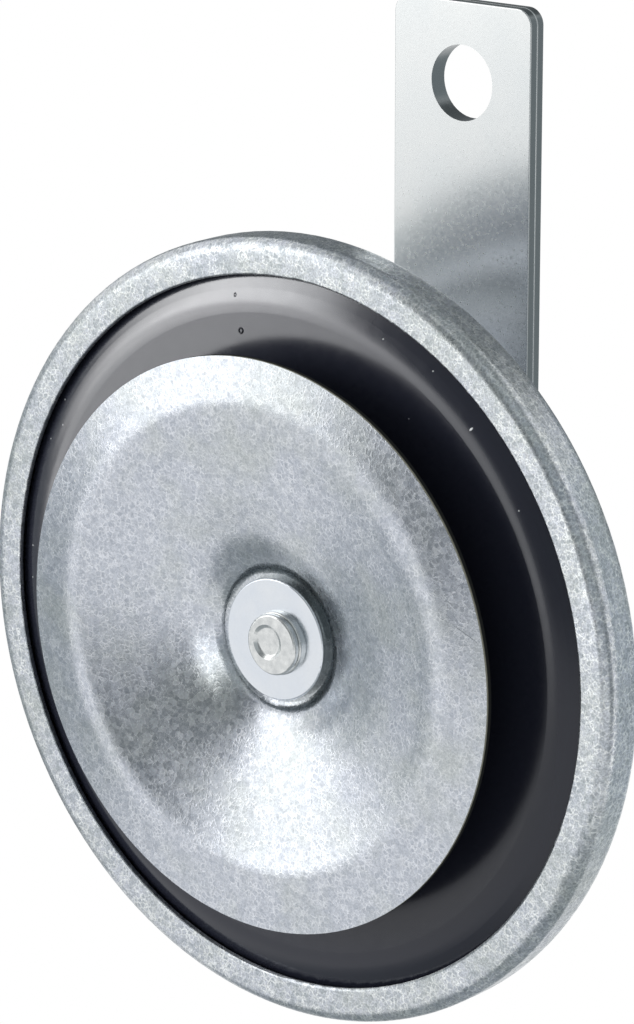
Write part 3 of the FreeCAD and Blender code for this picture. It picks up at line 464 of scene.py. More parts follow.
# Stoved black paint on spring steel: deep black with a hard gloss, drawn very slightly uneven as it flowed.
@dataclass(frozen=True)
class StovedPaint(Finish):
    """Gloss black paint of the diaphragm."""

    body_hex: str = "191b24"
    sheen_hex: str = "f6f9ff"
    roughness: float = 0.19
    roughness_share: float = 0.2
    flow_mm: float = 1.4
    flow_relief_mm: float = 0.0012
    ior: float = 1.47

    def build(self) -> Material:
        """Make the paint's material.

        Returns:
            The material.
        """
        material, tree, shader, place = self.start()
        flow = add_node(tree, "TexNoise", {
            "Vector": place, "Scale": 1 / (self.flow_mm * MM), "Detail": 2.0})
        haze = add_node(tree, "MapRange", {
            "Value": flow.outputs["Fac"], "To Min": self.roughness * (1 - self.roughness_share),
            "To Max": self.roughness * (1 + self.roughness_share)})
        bump = add_node(tree, "Bump", {
            "Height": flow.outputs["Fac"], "Distance": self.flow_relief_mm * MM})
        give(tree, shader, {
            "Base Color": linear(self.body_hex), "Roughness": haze.outputs["Result"], "IOR": self.ior,
            "Specular Tint": linear(self.sheen_hex), "Normal": bump.outputs["Normal"]})
        return material


# Bright zinc plating on smooth steel: pale, slightly blue, nearly a mirror, with the strip's faint grain.
# Other smooth metals with a grain or a dulled face are made the same way in their own colours.
@dataclass(frozen=True)
class BrightZinc(Finish):
    """Electroplated zinc of bracket, washers, stem and nuts."""

    plate_hex: str = "e6e9ec"
    cloud_hex: str = "dce1e7"
    cloud_mm: float = 7.0
    grain_mm: float = 0.35
    grain_stretch: tuple[float, float, float] = (1.0, 1.0, 1.0)
    roughness: float = 0.2
    roughness_spread: float = 0.05
    relief_mm: float = 0.002
    shaded_sheared_hex: str | None = None

    def build(self) -> Material:
        """Make the plating's material.

        Returns:
            The material.
        """
        material, tree, shader, place = self.start()
        drawn = add_node(tree, "VectorMath", {
            0: place, 1: self.grain_stretch}, operation="MULTIPLY")
        grain = add_node(tree, "TexNoise", {
            "Vector": drawn.outputs[0], "Scale": 1 / (self.grain_mm * MM), "Detail": 3.0})
        clouds = add_node(tree, "TexNoise", {
            "Vector": place, "Scale": 1 / (self.cloud_mm * MM), "Detail": 3.0})
        toned = add_node(tree, "Mix", {
            "Factor": clouds.outputs["Fac"], 6: linear(self.plate_hex), 7: linear(self.cloud_hex)},
            data_type="RGBA")
        # Painted shade: the sheet's sideways edges are coloured darker.
        if self.shaded_sheared_hex:
            toned = add_node(tree, "Mix", {
                "Factor": sheet_share(tree), 6: linear(self.shaded_sheared_hex), 7: toned.outputs[2]},
                data_type="RGBA")
        dull = add_node(tree, "MapRange", {
            "Value": grain.outputs["Fac"], "From Min": NOISE_LOW, "From Max": NOISE_HIGH,
            "To Min": self.roughness - self.roughness_spread,
            "To Max": self.roughness + self.roughness_spread})
        bump = add_node(tree, "Bump", {"Height": grain.outputs["Fac"], "Distance": self.relief_mm * MM})
        give(tree, shader, {
            "Base Color": toned.outputs[2], "Metallic": 1.0, "Roughness": dull.outputs["Result"],
            "Normal": bump.outputs["Normal"]})
        return material


# Turned metal: fine rings left by the tool, about the horn's axis, with painted shade in each groove.
@dataclass(frozen=True)
class TurnedMetal(Finish):
    """Lathe-turned iron or ground discs."""

    metal_hex: str = "b4b4b2"
    shaded_groove_hex: str = "8d8d8b"
    feed_mm: float = 0.18
    roughness: float = 0.32
    relief_mm: float = 0.004

    def build(self) -> Material:
        """Make the turned metal's material.

        Returns:
            The material.
        """
        material, tree, shader, place = self.start()
        arm, radius = from_axis(tree, place)
        travel = add_node(tree, "Math", {0: radius, 1: arm.outputs["Y"]}, operation="ADD")
        phase = add_node(tree, "Math", {
            0: travel.outputs[0], 1: 2 * math.pi / (self.feed_mm * MM)}, operation="MULTIPLY")
        rings = add_node(tree, "Math", {0: phase.outputs[0]}, operation="SINE")
        share = add_node(tree, "MapRange", {"Value": rings.outputs[0], "From Min": -1.0})
        # Painted shade: the colour darkens into each groove of the turning.
        toned = add_node(tree, "Mix", {
            "Factor": share.outputs["Result"], 6: linear(self.shaded_groove_hex), 7: linear(self.metal_hex)},
            data_type="RGBA")
        bump = add_node(tree, "Bump", {
            "Height": share.outputs["Result"], "Distance": self.relief_mm * MM})
        give(tree, shader, {
            "Base Color": toned.outputs[2], "Metallic": 1.0, "Roughness": self.roughness,
            "Normal": bump.outputs["Normal"]})
        return material


# Laminated phenolic board: brown, satin, with fibres of the paper or cotton showing as short pale flecks.
@dataclass(frozen=True)
class LaminatedBoard(Finish):
    """Insulating board and compressed gasket fibre."""

    board_hex: str = "5b3320"
    fleck_hex: str = "7c4d31"
    ply_mm: float = 0.35
    ply_share: float = 0.15
    fleck_mm: float = 0.6
    roughness: float = 0.48
    relief_mm: float = 0.01

    def build(self) -> Material:
        """Make the board's material.

        Returns:
            The material.
        """
        material, tree, shader, place = self.start()
        flecks = add_node(tree, "TexNoise", {
            "Vector": place, "Scale": 1 / (self.fleck_mm * MM), "Detail": 4.0, "Distortion": 0.8})
        depth = add_node(tree, "SeparateXYZ", {"Vector": place})
        phase = add_node(tree, "Math", {
            0: depth.outputs["Y"], 1: 2 * math.pi / (self.ply_mm * MM)}, operation="MULTIPLY")
        plies = add_node(tree, "Math", {0: phase.outputs[0]}, operation="SINE")
        share = add_node(tree, "Math", {
            0: plies.outputs[0], 1: self.ply_share, 2: flecks.outputs["Fac"]}, operation="MULTIPLY_ADD")
        toned = add_node(tree, "Mix", {
            "Factor": share.outputs[0], 6: linear(self.board_hex), 7: linear(self.fleck_hex)},
            data_type="RGBA")
        bump = add_node(tree, "Bump", {
            "Height": flecks.outputs["Fac"], "Distance": self.relief_mm * MM})
        give(tree, shader, {
            "Base Color": toned.outputs[2], "Roughness": self.roughness, "Normal": bump.outputs["Normal"]})
        return material


# Moulded nylon: creamy, faintly translucent, with the fine grain of the mould.
@dataclass(frozen=True)
class MouldedNylon(Finish):
    """Moulded nylon of the coil's bobbin."""

    nylon_hex: str = "e2dcc6"
    grain_mm: float = 0.25
    roughness: float = 0.42
    relief_mm: float = 0.006
    translucency: float = 0.15
    glow_mm: float = 0.8

    def build(self) -> Material:
        """Make the nylon's material.

        Returns:
            The material.
        """
        material, tree, shader, place = self.start()
        grain = add_node(tree, "TexNoise", {
            "Vector": place, "Scale": 1 / (self.grain_mm * MM), "Detail": 2.0})
        bump = add_node(tree, "Bump", {
            "Height": grain.outputs["Fac"], "Distance": self.relief_mm * MM})
        give(tree, shader, {
            "Base Color": linear(self.nylon_hex), "Roughness": self.roughness,
            "Subsurface Weight": self.translucency, "Subsurface Scale": self.glow_mm * MM,
            "Normal": bump.outputs["Normal"]})
        return material


# Enamelled copper wire in layers: round turns side by side, each catching its own line of light, with painted
# shade in the valleys between turns.
@dataclass(frozen=True)
class WoundWire(Finish):
    """Layers of enamelled copper wire on the bobbin."""

    crest_hex: str = "b5622e"
    shaded_valley_hex: str = "4a1f0e"
    wire_mm: float = 0.45
    metallic: float = 0.85
    roughness: float = 0.25
    relief_mm: float = 0.2

    def build(self) -> Material:
        """Make the winding's material.

        Returns:
            The material.
        """
        material, tree, shader, place = self.start()
        depth = add_node(tree, "SeparateXYZ", {"Vector": place})
        phase = add_node(tree, "Math", {
            0: depth.outputs["Y"], 1: math.pi / (self.wire_mm * MM)}, operation="MULTIPLY")
        wave = add_node(tree, "Math", {0: phase.outputs[0]}, operation="SINE")
        turns = add_node(tree, "Math", {0: wave.outputs[0]}, operation="ABSOLUTE")
        # Painted shade: darker from the copper crests into the valleys between turns.
        toned = add_node(tree, "Mix", {
            "Factor": turns.outputs[0], 6: linear(self.shaded_valley_hex), 7: linear(self.crest_hex)},
            data_type="RGBA")
        bump = add_node(tree, "Bump", {
            "Height": turns.outputs[0], "Distance": self.relief_mm * MM})
        give(tree, shader, {
            "Base Color": toned.outputs[2], "Metallic": self.metallic, "Roughness": self.roughness,
            "Normal": bump.outputs["Normal"]})
        return material


FINISHES: dict[str, Finish] = {
    "galvanised_rim": HotDipZinc(
        "hot_dip_zinc_rim", dark_grain_hex="a8afb6", border_hex="e4e8ea", speck_share=0.27, roughness=0.3,
        pressed_rings=((42.4, -0.035, 0.0), (44.4, -0.08, 0.0)), ring_bend_mm=1.2),
    # The disc's blanked edge is painted darker behind its front as shade.
    "galvanised_disc": HotDipZinc(
        "hot_dip_zinc_disc", cut_edge_hex="c4c3b4",
        pressed_rings=(
            (8.5, 0.26, 0.0), (11.6, -0.26, 0.0), (17.0, 0.04, 0.0), (25.8, 0.24, 0.0), (27.6, -0.40, 0.2))),
    "galvanised_housing": HotDipZinc("hot_dip_zinc_housing", spangle_mm=1.8, border_mm=0.2),
    "black_paint": StovedPaint("stoved_black_paint"),
    # The bracket's leaf edges and hole wall are painted darker as shade.
    "zinc_bracket": BrightZinc(
        "bright_zinc_strip", plate_hex="e0e2e2", cloud_hex="d5dadc", grain_mm=0.5, roughness=0.24,
        relief_mm=0.0015, shaded_sheared_hex="7d8385"),
    "zinc_fasteners": BrightZinc("bright_zinc_fasteners", grain_mm=0.2),
    "turned_iron": TurnedMetal("turned_iron"),
    "yoke_steel": BrightZinc("drawn_steel", plate_hex="a9aaab", cloud_hex="8f9091", roughness=0.34),
    "gasket_fibre": LaminatedBoard("gasket_fibre", board_hex="26231f", fleck_hex="3b3630", roughness=0.7),
    "bobbin_nylon": MouldedNylon("moulded_nylon"),
    "copper_winding": WoundWire("enamelled_copper_wire"),
    "insulator_board": LaminatedBoard("phenolic_board"),
    "contact_spring_steel": BrightZinc(
        "rolled_spring_steel", plate_hex="c3c1bb", cloud_hex="aeaca6", grain_stretch=(0.15, 1.0, 1.0),
        roughness=0.28),
    "contact_tungsten": TurnedMetal("ground_tungsten", metal_hex="9a9a9c", shaded_groove_hex="77777a", feed_mm=0.1),
    "terminal_brass": BrightZinc("tinned_brass", plate_hex="d9c894", cloud_hex="c5ad6c", roughness=0.26),
}


# Pieces whose own making shows beside their slot's finish: the stem's end was peened over the washer, which
# left it dull and finely dented, and the washer was punched, and its edges are painted darker as shade.
OWN_FINISHES: dict[str, Finish] = {
    "centre_stem": BrightZinc(
        "peened_zinc_stem", plate_hex="f1f3f2", cloud_hex="b9bdbf", cloud_mm=0.9, grain_mm=0.45,
        roughness=0.22, roughness_spread=0.06, relief_mm=0.02),
    "front_washer": BrightZinc("bright_zinc_washer", cloud_hex="d3dbe6", cloud_mm=4.0, shaded_sheared_hex="6f7577"),
}


@dataclass
class PackedNodes:
    """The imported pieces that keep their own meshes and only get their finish."""

    slots: dict[str, str] = field(default_factory=lambda: {
        piece["node"]: piece["material_slot"] for piece in frame["record"]["subparts"]})
    materials: Materials = field(default_factory=dict)

    def dress(self) -> None:
        """Build each finish once and give it to the nodes of its slot."""
        self.materials = {slot: finish.build() for slot, finish in FINISHES.items()}
        for node, slot in self.slots.items():
            own = OWN_FINISHES[node].build() if node in OWN_FINISHES else self.materials[slot]
            self.wear(frame["nodes"][node], own)
            LOG.info("%s wears %s", node, own.name)

    def wear(self, piece: Object, material: Material) -> None:
        """Put a material on a piece.

        Args:
            piece: The piece.
            material: The piece's finish.
        """
        piece.data.materials.clear()
        piece.data.materials.append(material)


@dataclass
class ThreadedRod:
    """A round rod with a metric thread cut into its rear end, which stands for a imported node.

    The thread's depth is a share of its pitch, and its flat crest and root are shares of a turn's length.
    """

    node: str
    pitch_mm: float
    threaded_from: float
    sides: int = 48
    rows_per_turn: int = 12
    depth_share: float = 0.61
    crest_share: float = 0.15
    root_share: float = 0.2

    def __post_init__(self) -> None:
        """Read the rod's place, radius and finish from its node."""
        subparts = frame["record"]["subparts"]
        self.slot = next(piece["material_slot"] for piece in subparts if piece["node"] == self.node)
        self.low, self.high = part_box(self.node)
        self.x, self.z = (self.low.x + self.high.x) / 2, (self.low.z + self.high.z) / 2
        self.radius = max(self.reach(spot) for spot in corners(self.node) if spot.y > self.threaded_from)

    def reach(self, spot: Vector) -> float:
        """Give a place's distance from the rod's middle line in metres."""
        return math.hypot(spot.x - self.x, spot.z - self.z)

    def groove(self, depth: float, turn: float) -> float:
        """Give how deep the thread is cut at a place.

        Args:
            depth: Y of the place in metres.
            turn: Share of a turn round the rod.

        Returns:
            Metres below the rod's outer radius.
        """
        pitch = self.pitch_mm * MM
        turns = (depth - self.threaded_from) / pitch
        phase = turns - turn
        flank = 2 * abs(phase - math.floor(phase) - 0.5)
        flank = (flank - self.crest_share) / (1 - self.crest_share - self.root_share)
        run_in = min(1.0, max(0.0, turns))
        return self.depth_share * pitch * min(1.0, max(0.0, flank)) * run_in

    def ring(self, radii: list[float], depth: float) -> list[Point]:
        """Give one ring of points about the rod's axis.

        Args:
            radii: The radius of each point in metres.
            depth: Y of the ring in metres.

        Returns:
            The points.
        """
        return [
            (self.x + radius * math.sin(2 * math.pi * side / self.sides), depth,
             self.z + radius * math.cos(2 * math.pi * side / self.sides))
            for side, radius in enumerate(radii)]

    def thread_rings(self, end: float, bevel: float) -> list[list[Point]]:
        """Give the rings of the threaded length.

        Args:
            end: Y of the rod's end in metres.
            bevel: Size of the bevel on that end in metres.

        Returns:
            Rings of points from front to rear.
        """
        rows = math.ceil((end - self.threaded_from) / (self.pitch_mm * MM) * self.rows_per_turn)
        rings = []
        for row in range(rows + 1):
            depth = self.threaded_from + (end - self.threaded_from) * row / rows
            most = self.radius - max(0.0, depth - (end - bevel))
            rings.append(self.ring([
                min(most, self.radius - self.groove(depth, side / self.sides))
                for side in range(self.sides)], depth))
        return rings

    def skin(self, name: str, rings: list[list[Point]], materials: Materials) -> None:
        """Join rings to one closed piece that replaces the node.

        Args:
            name: The piece's name.
            rings: Rings of points from front to rear.
            materials: The finish of each of the record's slots.
        """
        count = self.sides
        last = count * (len(rings) - 1)
        points = [point for ring in rings for point in ring]
        faces = [tuple(range(count))]
        for start in range(0, last, count):
            for side in range(count):
                after = (side + 1) % count
                faces.append((start + count + side, start + count + after, start + after, start + side))
        faces.append(tuple(reversed(range(last, last + count))))
        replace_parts(self.seat(new_mesh(name, points, faces), materials), self.node)

    def seat(self, piece: Object, materials: Materials) -> Object:
        """Shade and dress a piece of the rod and let it ride on the casing.

        Args:
            piece: The piece.
            materials: The finish of each of the record's slots.

        Returns:
            The same piece.
        """
        piece.data.set_sharp_from_angle(angle=SHARP_ANGLE)
        piece.data.materials.append(materials[self.slot])
        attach(piece, Body.CASING.value)
        return piece


@dataclass
class MountingStud(ThreadedRod):
    """The magnet's core with its M8 stud."""

    node: str = "pole_core"
    pitch_mm: float = 1.25
    threaded_from: float = field(default_factory=lambda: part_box("bracket_front_leaf")[0].y)
    bevel_mm: float = 0.6
    core_bevel_mm: float = 0.4

    def build(self, materials: Materials) -> None:
        """Make the core and stud.

        Args:
            materials: The finish of each of the record's slots.
        """
        spots = corners(self.node)
        core = max(self.reach(spot) for spot in spots)
        floor = max(spot.y for spot in spots if self.reach(spot) > core - EDGE_BAND_MM * MM)
        bevel = self.core_bevel_mm * MM
        outline = [
            (core - bevel, self.low.y), (core, self.low.y + bevel), (core, floor), (self.radius, floor)]
        rings = [self.ring([radius] * self.sides, depth) for radius, depth in outline]
        rings += self.thread_rings(self.high.y, self.bevel_mm * MM)
        self.skin("core_with_threaded_stud", rings, materials)


# How far in front of its lock nut the adjusting screw's thread starts.
SCREW_LEAD_MM = 3.0


@dataclass
class AdjustingScrew(ThreadedRod):
    """The slotted M4 screw that sets the breaker."""

    node: str = "adjusting_screw"
    pitch_mm: float = 0.7
    threaded_from: float = field(default_factory=lambda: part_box("lock_nut")[0].y - SCREW_LEAD_MM * MM)
    sides: int = 40
    slot_width_mm: float = 0.8
    slot_depth_mm: float = 1.2
    bevel_mm: float = 0.2
    land_steps: int = 20

    def build(self, materials: Materials) -> None:
        """Make the shank and the two lands beside the slot.

        Args:
            materials: The finish of each of the record's slots.
        """
        floor = self.high.y - self.slot_depth_mm * MM
        rings = [self.ring([self.radius] * self.sides, self.low.y)]
        rings += self.thread_rings(floor, 0.0)
        self.skin("threaded_adjusting_screw", rings, materials)
        for side, label in ((1, "upper"), (-1, "lower")):
            self.land("screw_land_" + label, side, floor, materials)

    def land(self, name: str, side: int, floor: float, materials: Materials) -> None:
        """Make the land on one side of the slot.

        Args:
            name: The piece's name.
            side: 1 above the slot and -1 below it.
            floor: Y of the slot's floor in metres.
            materials: The finish of each of the record's slots.
        """
        half = self.slot_width_mm * MM / 2
        bevel = self.bevel_mm * MM
        rear = self.high.y
        outline = [(self.radius, floor), (self.radius, rear - bevel), (self.radius - bevel, rear)]
        points = []
        for radius, depth in outline:
            first = math.asin(half / radius)
            for step in range(self.land_steps + 1):
                angle = first + (math.pi - 2 * first) * step / self.land_steps
                points.append((
                    self.x + radius * math.cos(angle), depth, self.z + side * radius * math.sin(angle)))
        count = self.land_steps + 1
        faces = [tuple(range(count)), tuple(reversed(range(2 * count, 3 * count)))]
        for start in (0, count):
            for step in range(count):
                after = (step + 1) % count
                faces.append((start + step, start + count + step, start + count + after, start + after))
        if side > 0:
            faces = [face[::-1] for face in faces]
        self.seat(new_mesh(name, points, faces), materials)


class MarkShape(Enum):
    """The forms of the small marks on the faces."""

    GRAIN = "grain"
    CRATER = "crater"


@dataclass(frozen=True)
class Mark:
    """A small mark on a round piece: radius and size in millimetres, clock in degrees from the top."""

    radius: float
    clock: float
    size: float
    stretch: float = 1.0
    shape: MarkShape = MarkShape.GRAIN
    grain_rise: float = 0.45
    crater_rise: float = 0.35
    crater_brim: float = 0.7

    def height(self, share: float) -> float:
        """Give the mark's height at a place on it.

        Args:
            share: The place's distance from the mark's middle over the mark's size.

        Returns:
            The height over the mark's size.
        """
        if self.shape is MarkShape.CRATER:
            return self.crater_rise * max(0.0, 1 - ((share - self.crater_brim) / (1 - self.crater_brim)) ** 2)
        return self.grain_rise * math.sqrt(max(0.0, 1 - share * share))


@dataclass
class FaceMarks:
    """Grains caught in paint and zinc, burst bubbles in the paint and a scratch, as the photo shows them.

    The scratch runs between two places, each a radius in millimetres and a clock angle in degrees.
    """

    paint_grains: tuple[Mark, ...] = (
        Mark(39.3, 42.6, 0.13, 2.4), Mark(39.3, 57.9, 0.1), Mark(40.4, 31.3, 0.1), Mark(39.7, 20.8, 0.1),
        Mark(33.9, 32.1, 0.08), Mark(41.3, 302.5, 0.12), Mark(39.7, 298.9, 0.1), Mark(40.8, 294.7, 0.1),
        Mark(40.3, 274.7, 0.12), Mark(40.3, 269.0, 0.1))
    paint_bubbles: tuple[Mark, ...] = (
        Mark(35.6, 349.5, 0.42, 1.0, MarkShape.CRATER), Mark(39.7, 349.0, 0.22, 1.3, MarkShape.CRATER))
    zinc_grains: tuple[Mark, ...] = (
        Mark(30.8, 312.9, 0.14), Mark(30.1, 302.0, 0.12), Mark(31.0, 298.8, 0.14),
        Mark(31.8, 347.6, 0.08, 4.0), Mark(29.4, 344.0, 0.1))
    scratch: tuple[tuple[float, float], tuple[float, float]] = ((30.3, 73.7), (33.2, 77.7))
    scratch_width: float = 0.09
    scratch_steps: int = 12
    lift: float = 0.012
    rings: int = 5
    sides: int = 10
    look_from: float = 0.1

    def surface(self, node: str, spot: Vector) -> tuple[Vector, Vector]:
        """Find the front face of a node behind a spot.

        Args:
            node: The node that carries the mark.
            spot: A place level with the rim's front.

        Returns:
            The place on the node's front face and the face's direction there.
        """
        behind = Vector((0.0, 1.0, 0.0))
        found, place, normal, _ = frame["nodes"][node].ray_cast(spot - self.look_from * behind, behind)
        if not found:
            raise ValueError("no face of " + node + " lies there")
        return place, normal

    def grains(
        self,
        name: str,
        node: str,
        body: Body,
        marks: tuple[Mark, ...],
        slot: str,
        material: Material,
    ) -> None:
        """Make one piece of all marks of a kind.

        Args:
            name: The piece's name.
            node: The node that carries them.
            body: The body that they ride on.
            marks: The marks.
            slot: The record's slot that the finish belongs to.
            material: Their finish.
        """
        points, faces = [], []
        for mark in marks:
            outward = AXIS.outward(mark.clock)
            place, normal = self.surface(node, AXIS.middle() + mark.radius * MM * outward)
            along = normal.cross(outward).normalized()
            out = along.cross(normal).normalized()
            base = len(points)
            points.append(tuple(place + normal * (mark.height(0.0) * mark.size - self.lift) * MM))
            for ring in range(1, self.rings + 1):
                share = ring / self.rings
                for side in range(self.sides):
                    angle = 2 * math.pi * side / self.sides
                    flat = along * math.cos(angle) + out * (mark.stretch * math.sin(angle))
                    rise = normal * (mark.height(share) * mark.size - self.lift)
                    points.append(tuple(place + (flat * share * mark.size + rise) * MM))
            for side in range(self.sides):
                after = (side + 1) % self.sides
                faces.append((base, base + 1 + side, base + 1 + after))
                for ring in range(self.rings - 1):
                    inner = base + 1 + self.sides * ring
                    outer = inner + self.sides
                    faces.append((inner + side, outer + side, outer + after, inner + after))
        self.finish(new_mesh(name, points, faces), body, slot, material)

    def draw_scratch(self, material: Material) -> None:
        """Make the scratch as a thin strip on the tone disc's face.

        Args:
            material: The scratch's finish.
        """
        first, last = (AXIS.middle() + radius * MM * AXIS.outward(clock) for radius, clock in self.scratch)
        along = (last - first).normalized()
        points = []
        for step in range(self.scratch_steps + 1):
            place, normal = self.surface("tone_disc", first.lerp(last, step / self.scratch_steps))
            taper = math.sin(math.pi * (step + 0.5) / (self.scratch_steps + 1))
            side = normal.cross(along).normalized() * (self.scratch_width / 2 * MM * taper)
            raised = place + normal * self.lift * MM
            points += [tuple(raised + side), tuple(raised - side)]
        faces = [(2 * step, 2 * step + 1, 2 * step + 3, 2 * step + 2) for step in range(self.scratch_steps)]
        self.finish(new_mesh("disc_scratch", points, faces), Body.STRIKER, "galvanised_disc", material)

    def finish(self, piece: Object, body: Body, slot: str, material: Material) -> None:
        """Dress a piece and put it on its body.

        Args:
            piece: The piece.
            body: The body that it rides on.
            slot: Not used.
            material: The piece's finish.
        """
        piece.data.materials.append(material)
        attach(piece, body.value)

    def build(self, materials: Materials) -> None:
        """Make all marks.

        Args:
            materials: The finish of each of the record's slots.
        """
        bpy.context.view_layer.update()
        paint = materials["black_paint"]
        dross = BrightZinc(
            "zinc_dross", plate_hex="f4f5f5", cloud_hex="dfe2e4", cloud_mm=0.3, roughness=0.4).build()
        scored = BrightZinc("scored_zinc", plate_hex="8f959b", cloud_hex="7b8187", roughness=0.35).build()
        self.grains("paint_grains", "diaphragm", Body.CASING, self.paint_grains, "black_paint", dross)
        self.grains("paint_bubbles", "diaphragm", Body.CASING, self.paint_bubbles, "black_paint", paint)
        self.grains("zinc_grains", "tone_disc", Body.STRIKER, self.zinc_grains, "galvanised_disc", dross)
        self.draw_scratch(scored)


@dataclass(frozen=True)
class StudioPatch:
    """A patch of the studio, as seen from the horn: its place and size are angles in degrees."""

    name: str
    azimuth: float
    elevation: float
    width: float
    height: float
    brightness: float
    distance: float = 1.45
    lit_nodes: tuple[str, ...] = ()

    def centre(self) -> Vector:
        """Give the middle of the patch in the row frame."""
        return AXIS.middle() + direction(self.azimuth, self.elevation) * self.distance

    def spans(self) -> tuple[float, float]:
        """Give the patch's width and height in metres."""
        return (
            2 * self.distance * math.tan(math.radians(self.width / 2)),
            2 * self.distance * math.tan(math.radians(self.height / 2)),
        )

    def build(self) -> None:
        """Make the patch."""
        raise NotImplementedError


class Softbox(StudioPatch):
    """A slightly warm lamp with a plain diffuser, which may be flagged off all but some pieces."""

    TINT = (1.0, 0.985, 0.955)

    def build(self) -> None:
        """Make the lamp, whose diffuser shows with the brightness given."""
        width, height = self.spans()
        light = bpy.data.lights.new(self.name, "AREA")
        light.shape = "RECTANGLE"
        light.size, light.size_y = width, height
        light.energy = self.brightness * math.pi * width * height
        light.color = self.TINT
        lamp = bpy.data.objects.new(self.name, light)
        lamp.location = self.centre()
        lamp.rotation_euler = (-direction(self.azimuth, self.elevation)).to_track_quat("-Z", "Y").to_euler()
        lamp.visible_camera = False
        bpy.context.scene.collection.objects.link(lamp)
        if self.lit_nodes:
            lit = bpy.data.collections.new(self.name + "_lights")
            for node in self.lit_nodes:
                lit.objects.link(frame["nodes"][node])
            lamp.light_linking.receiver_collection = lit


class GreyCard(StudioPatch):
    """A slightly cool card that shows only in reflections and fades out at its border."""

    FADE_DEGREES = 8.0
    STEP_DEGREES = 2.0
    FULL_TURN = 360.0
    TINT = (0.93, 1.0, 1.03)

    def strength(self, across: float, up: float) -> float:
        """Give how solid the card is at a place on it.

        Args:
            across: Degrees from its left side.
            up: Degrees from its lower side.

        Returns:
            0 at the border and 1 inside; a card that runs all round has no sides.
        """
        border = [up, self.height - up]
        if self.width < self.FULL_TURN:
            border += [across, self.width - across]
        share = min(1.0, max(0.0, min(border) / self.FADE_DEGREES))
        # A cubic that leaves 0 and reaches 1 without a kink.
        return share * share * (3 - 2 * share)

    def build(self) -> None:
        """Make the card as a curved patch of a sphere round the horn."""
        columns = math.ceil(self.width / self.STEP_DEGREES)
        rows = math.ceil(self.height / self.STEP_DEGREES)
        grid = [
            (self.width * column / columns, self.height * row / rows)
            for row in range(rows + 1) for column in range(columns + 1)]
        points = [
            tuple(AXIS.middle() + self.distance * direction(
                self.azimuth - self.width / 2 + across, self.elevation - self.height / 2 + up))
            for across, up in grid]
        faces = [
            (start, start + 1, start + columns + 2, start + columns + 1)
            for row in range(rows) for start in range(row * (columns + 1), row * (columns + 1) + columns)]
        card = new_mesh(self.name, points, faces)
        solid = card.data.attributes.new("solid", "FLOAT", "POINT")
        solid.data.foreach_set("value", [self.strength(across, up) for across, up in grid])
        material, tree, shader = new_material(self.name + "_paper")
        tree.nodes.remove(shader)
        paper = add_node(tree, "Emission", {
            "Color": (*self.TINT, 1.0), "Strength": self.brightness})
        gap = add_node(tree, "BsdfTransparent")
        shown = add_node(tree, "Attribute", attribute_name="solid")
        choice = add_node(tree, "MixShader", {
            0: shown.outputs["Fac"], 1: gap.outputs[0], 2: paper.outputs[0]})
        give(tree, tree.nodes["Material Output"], {"Surface": choice.outputs[0]})
        card.data.materials.append(material)
        card.visible_camera = False
        card.visible_diffuse = False
        card.visible_transmission = False
        card.visible_shadow = False


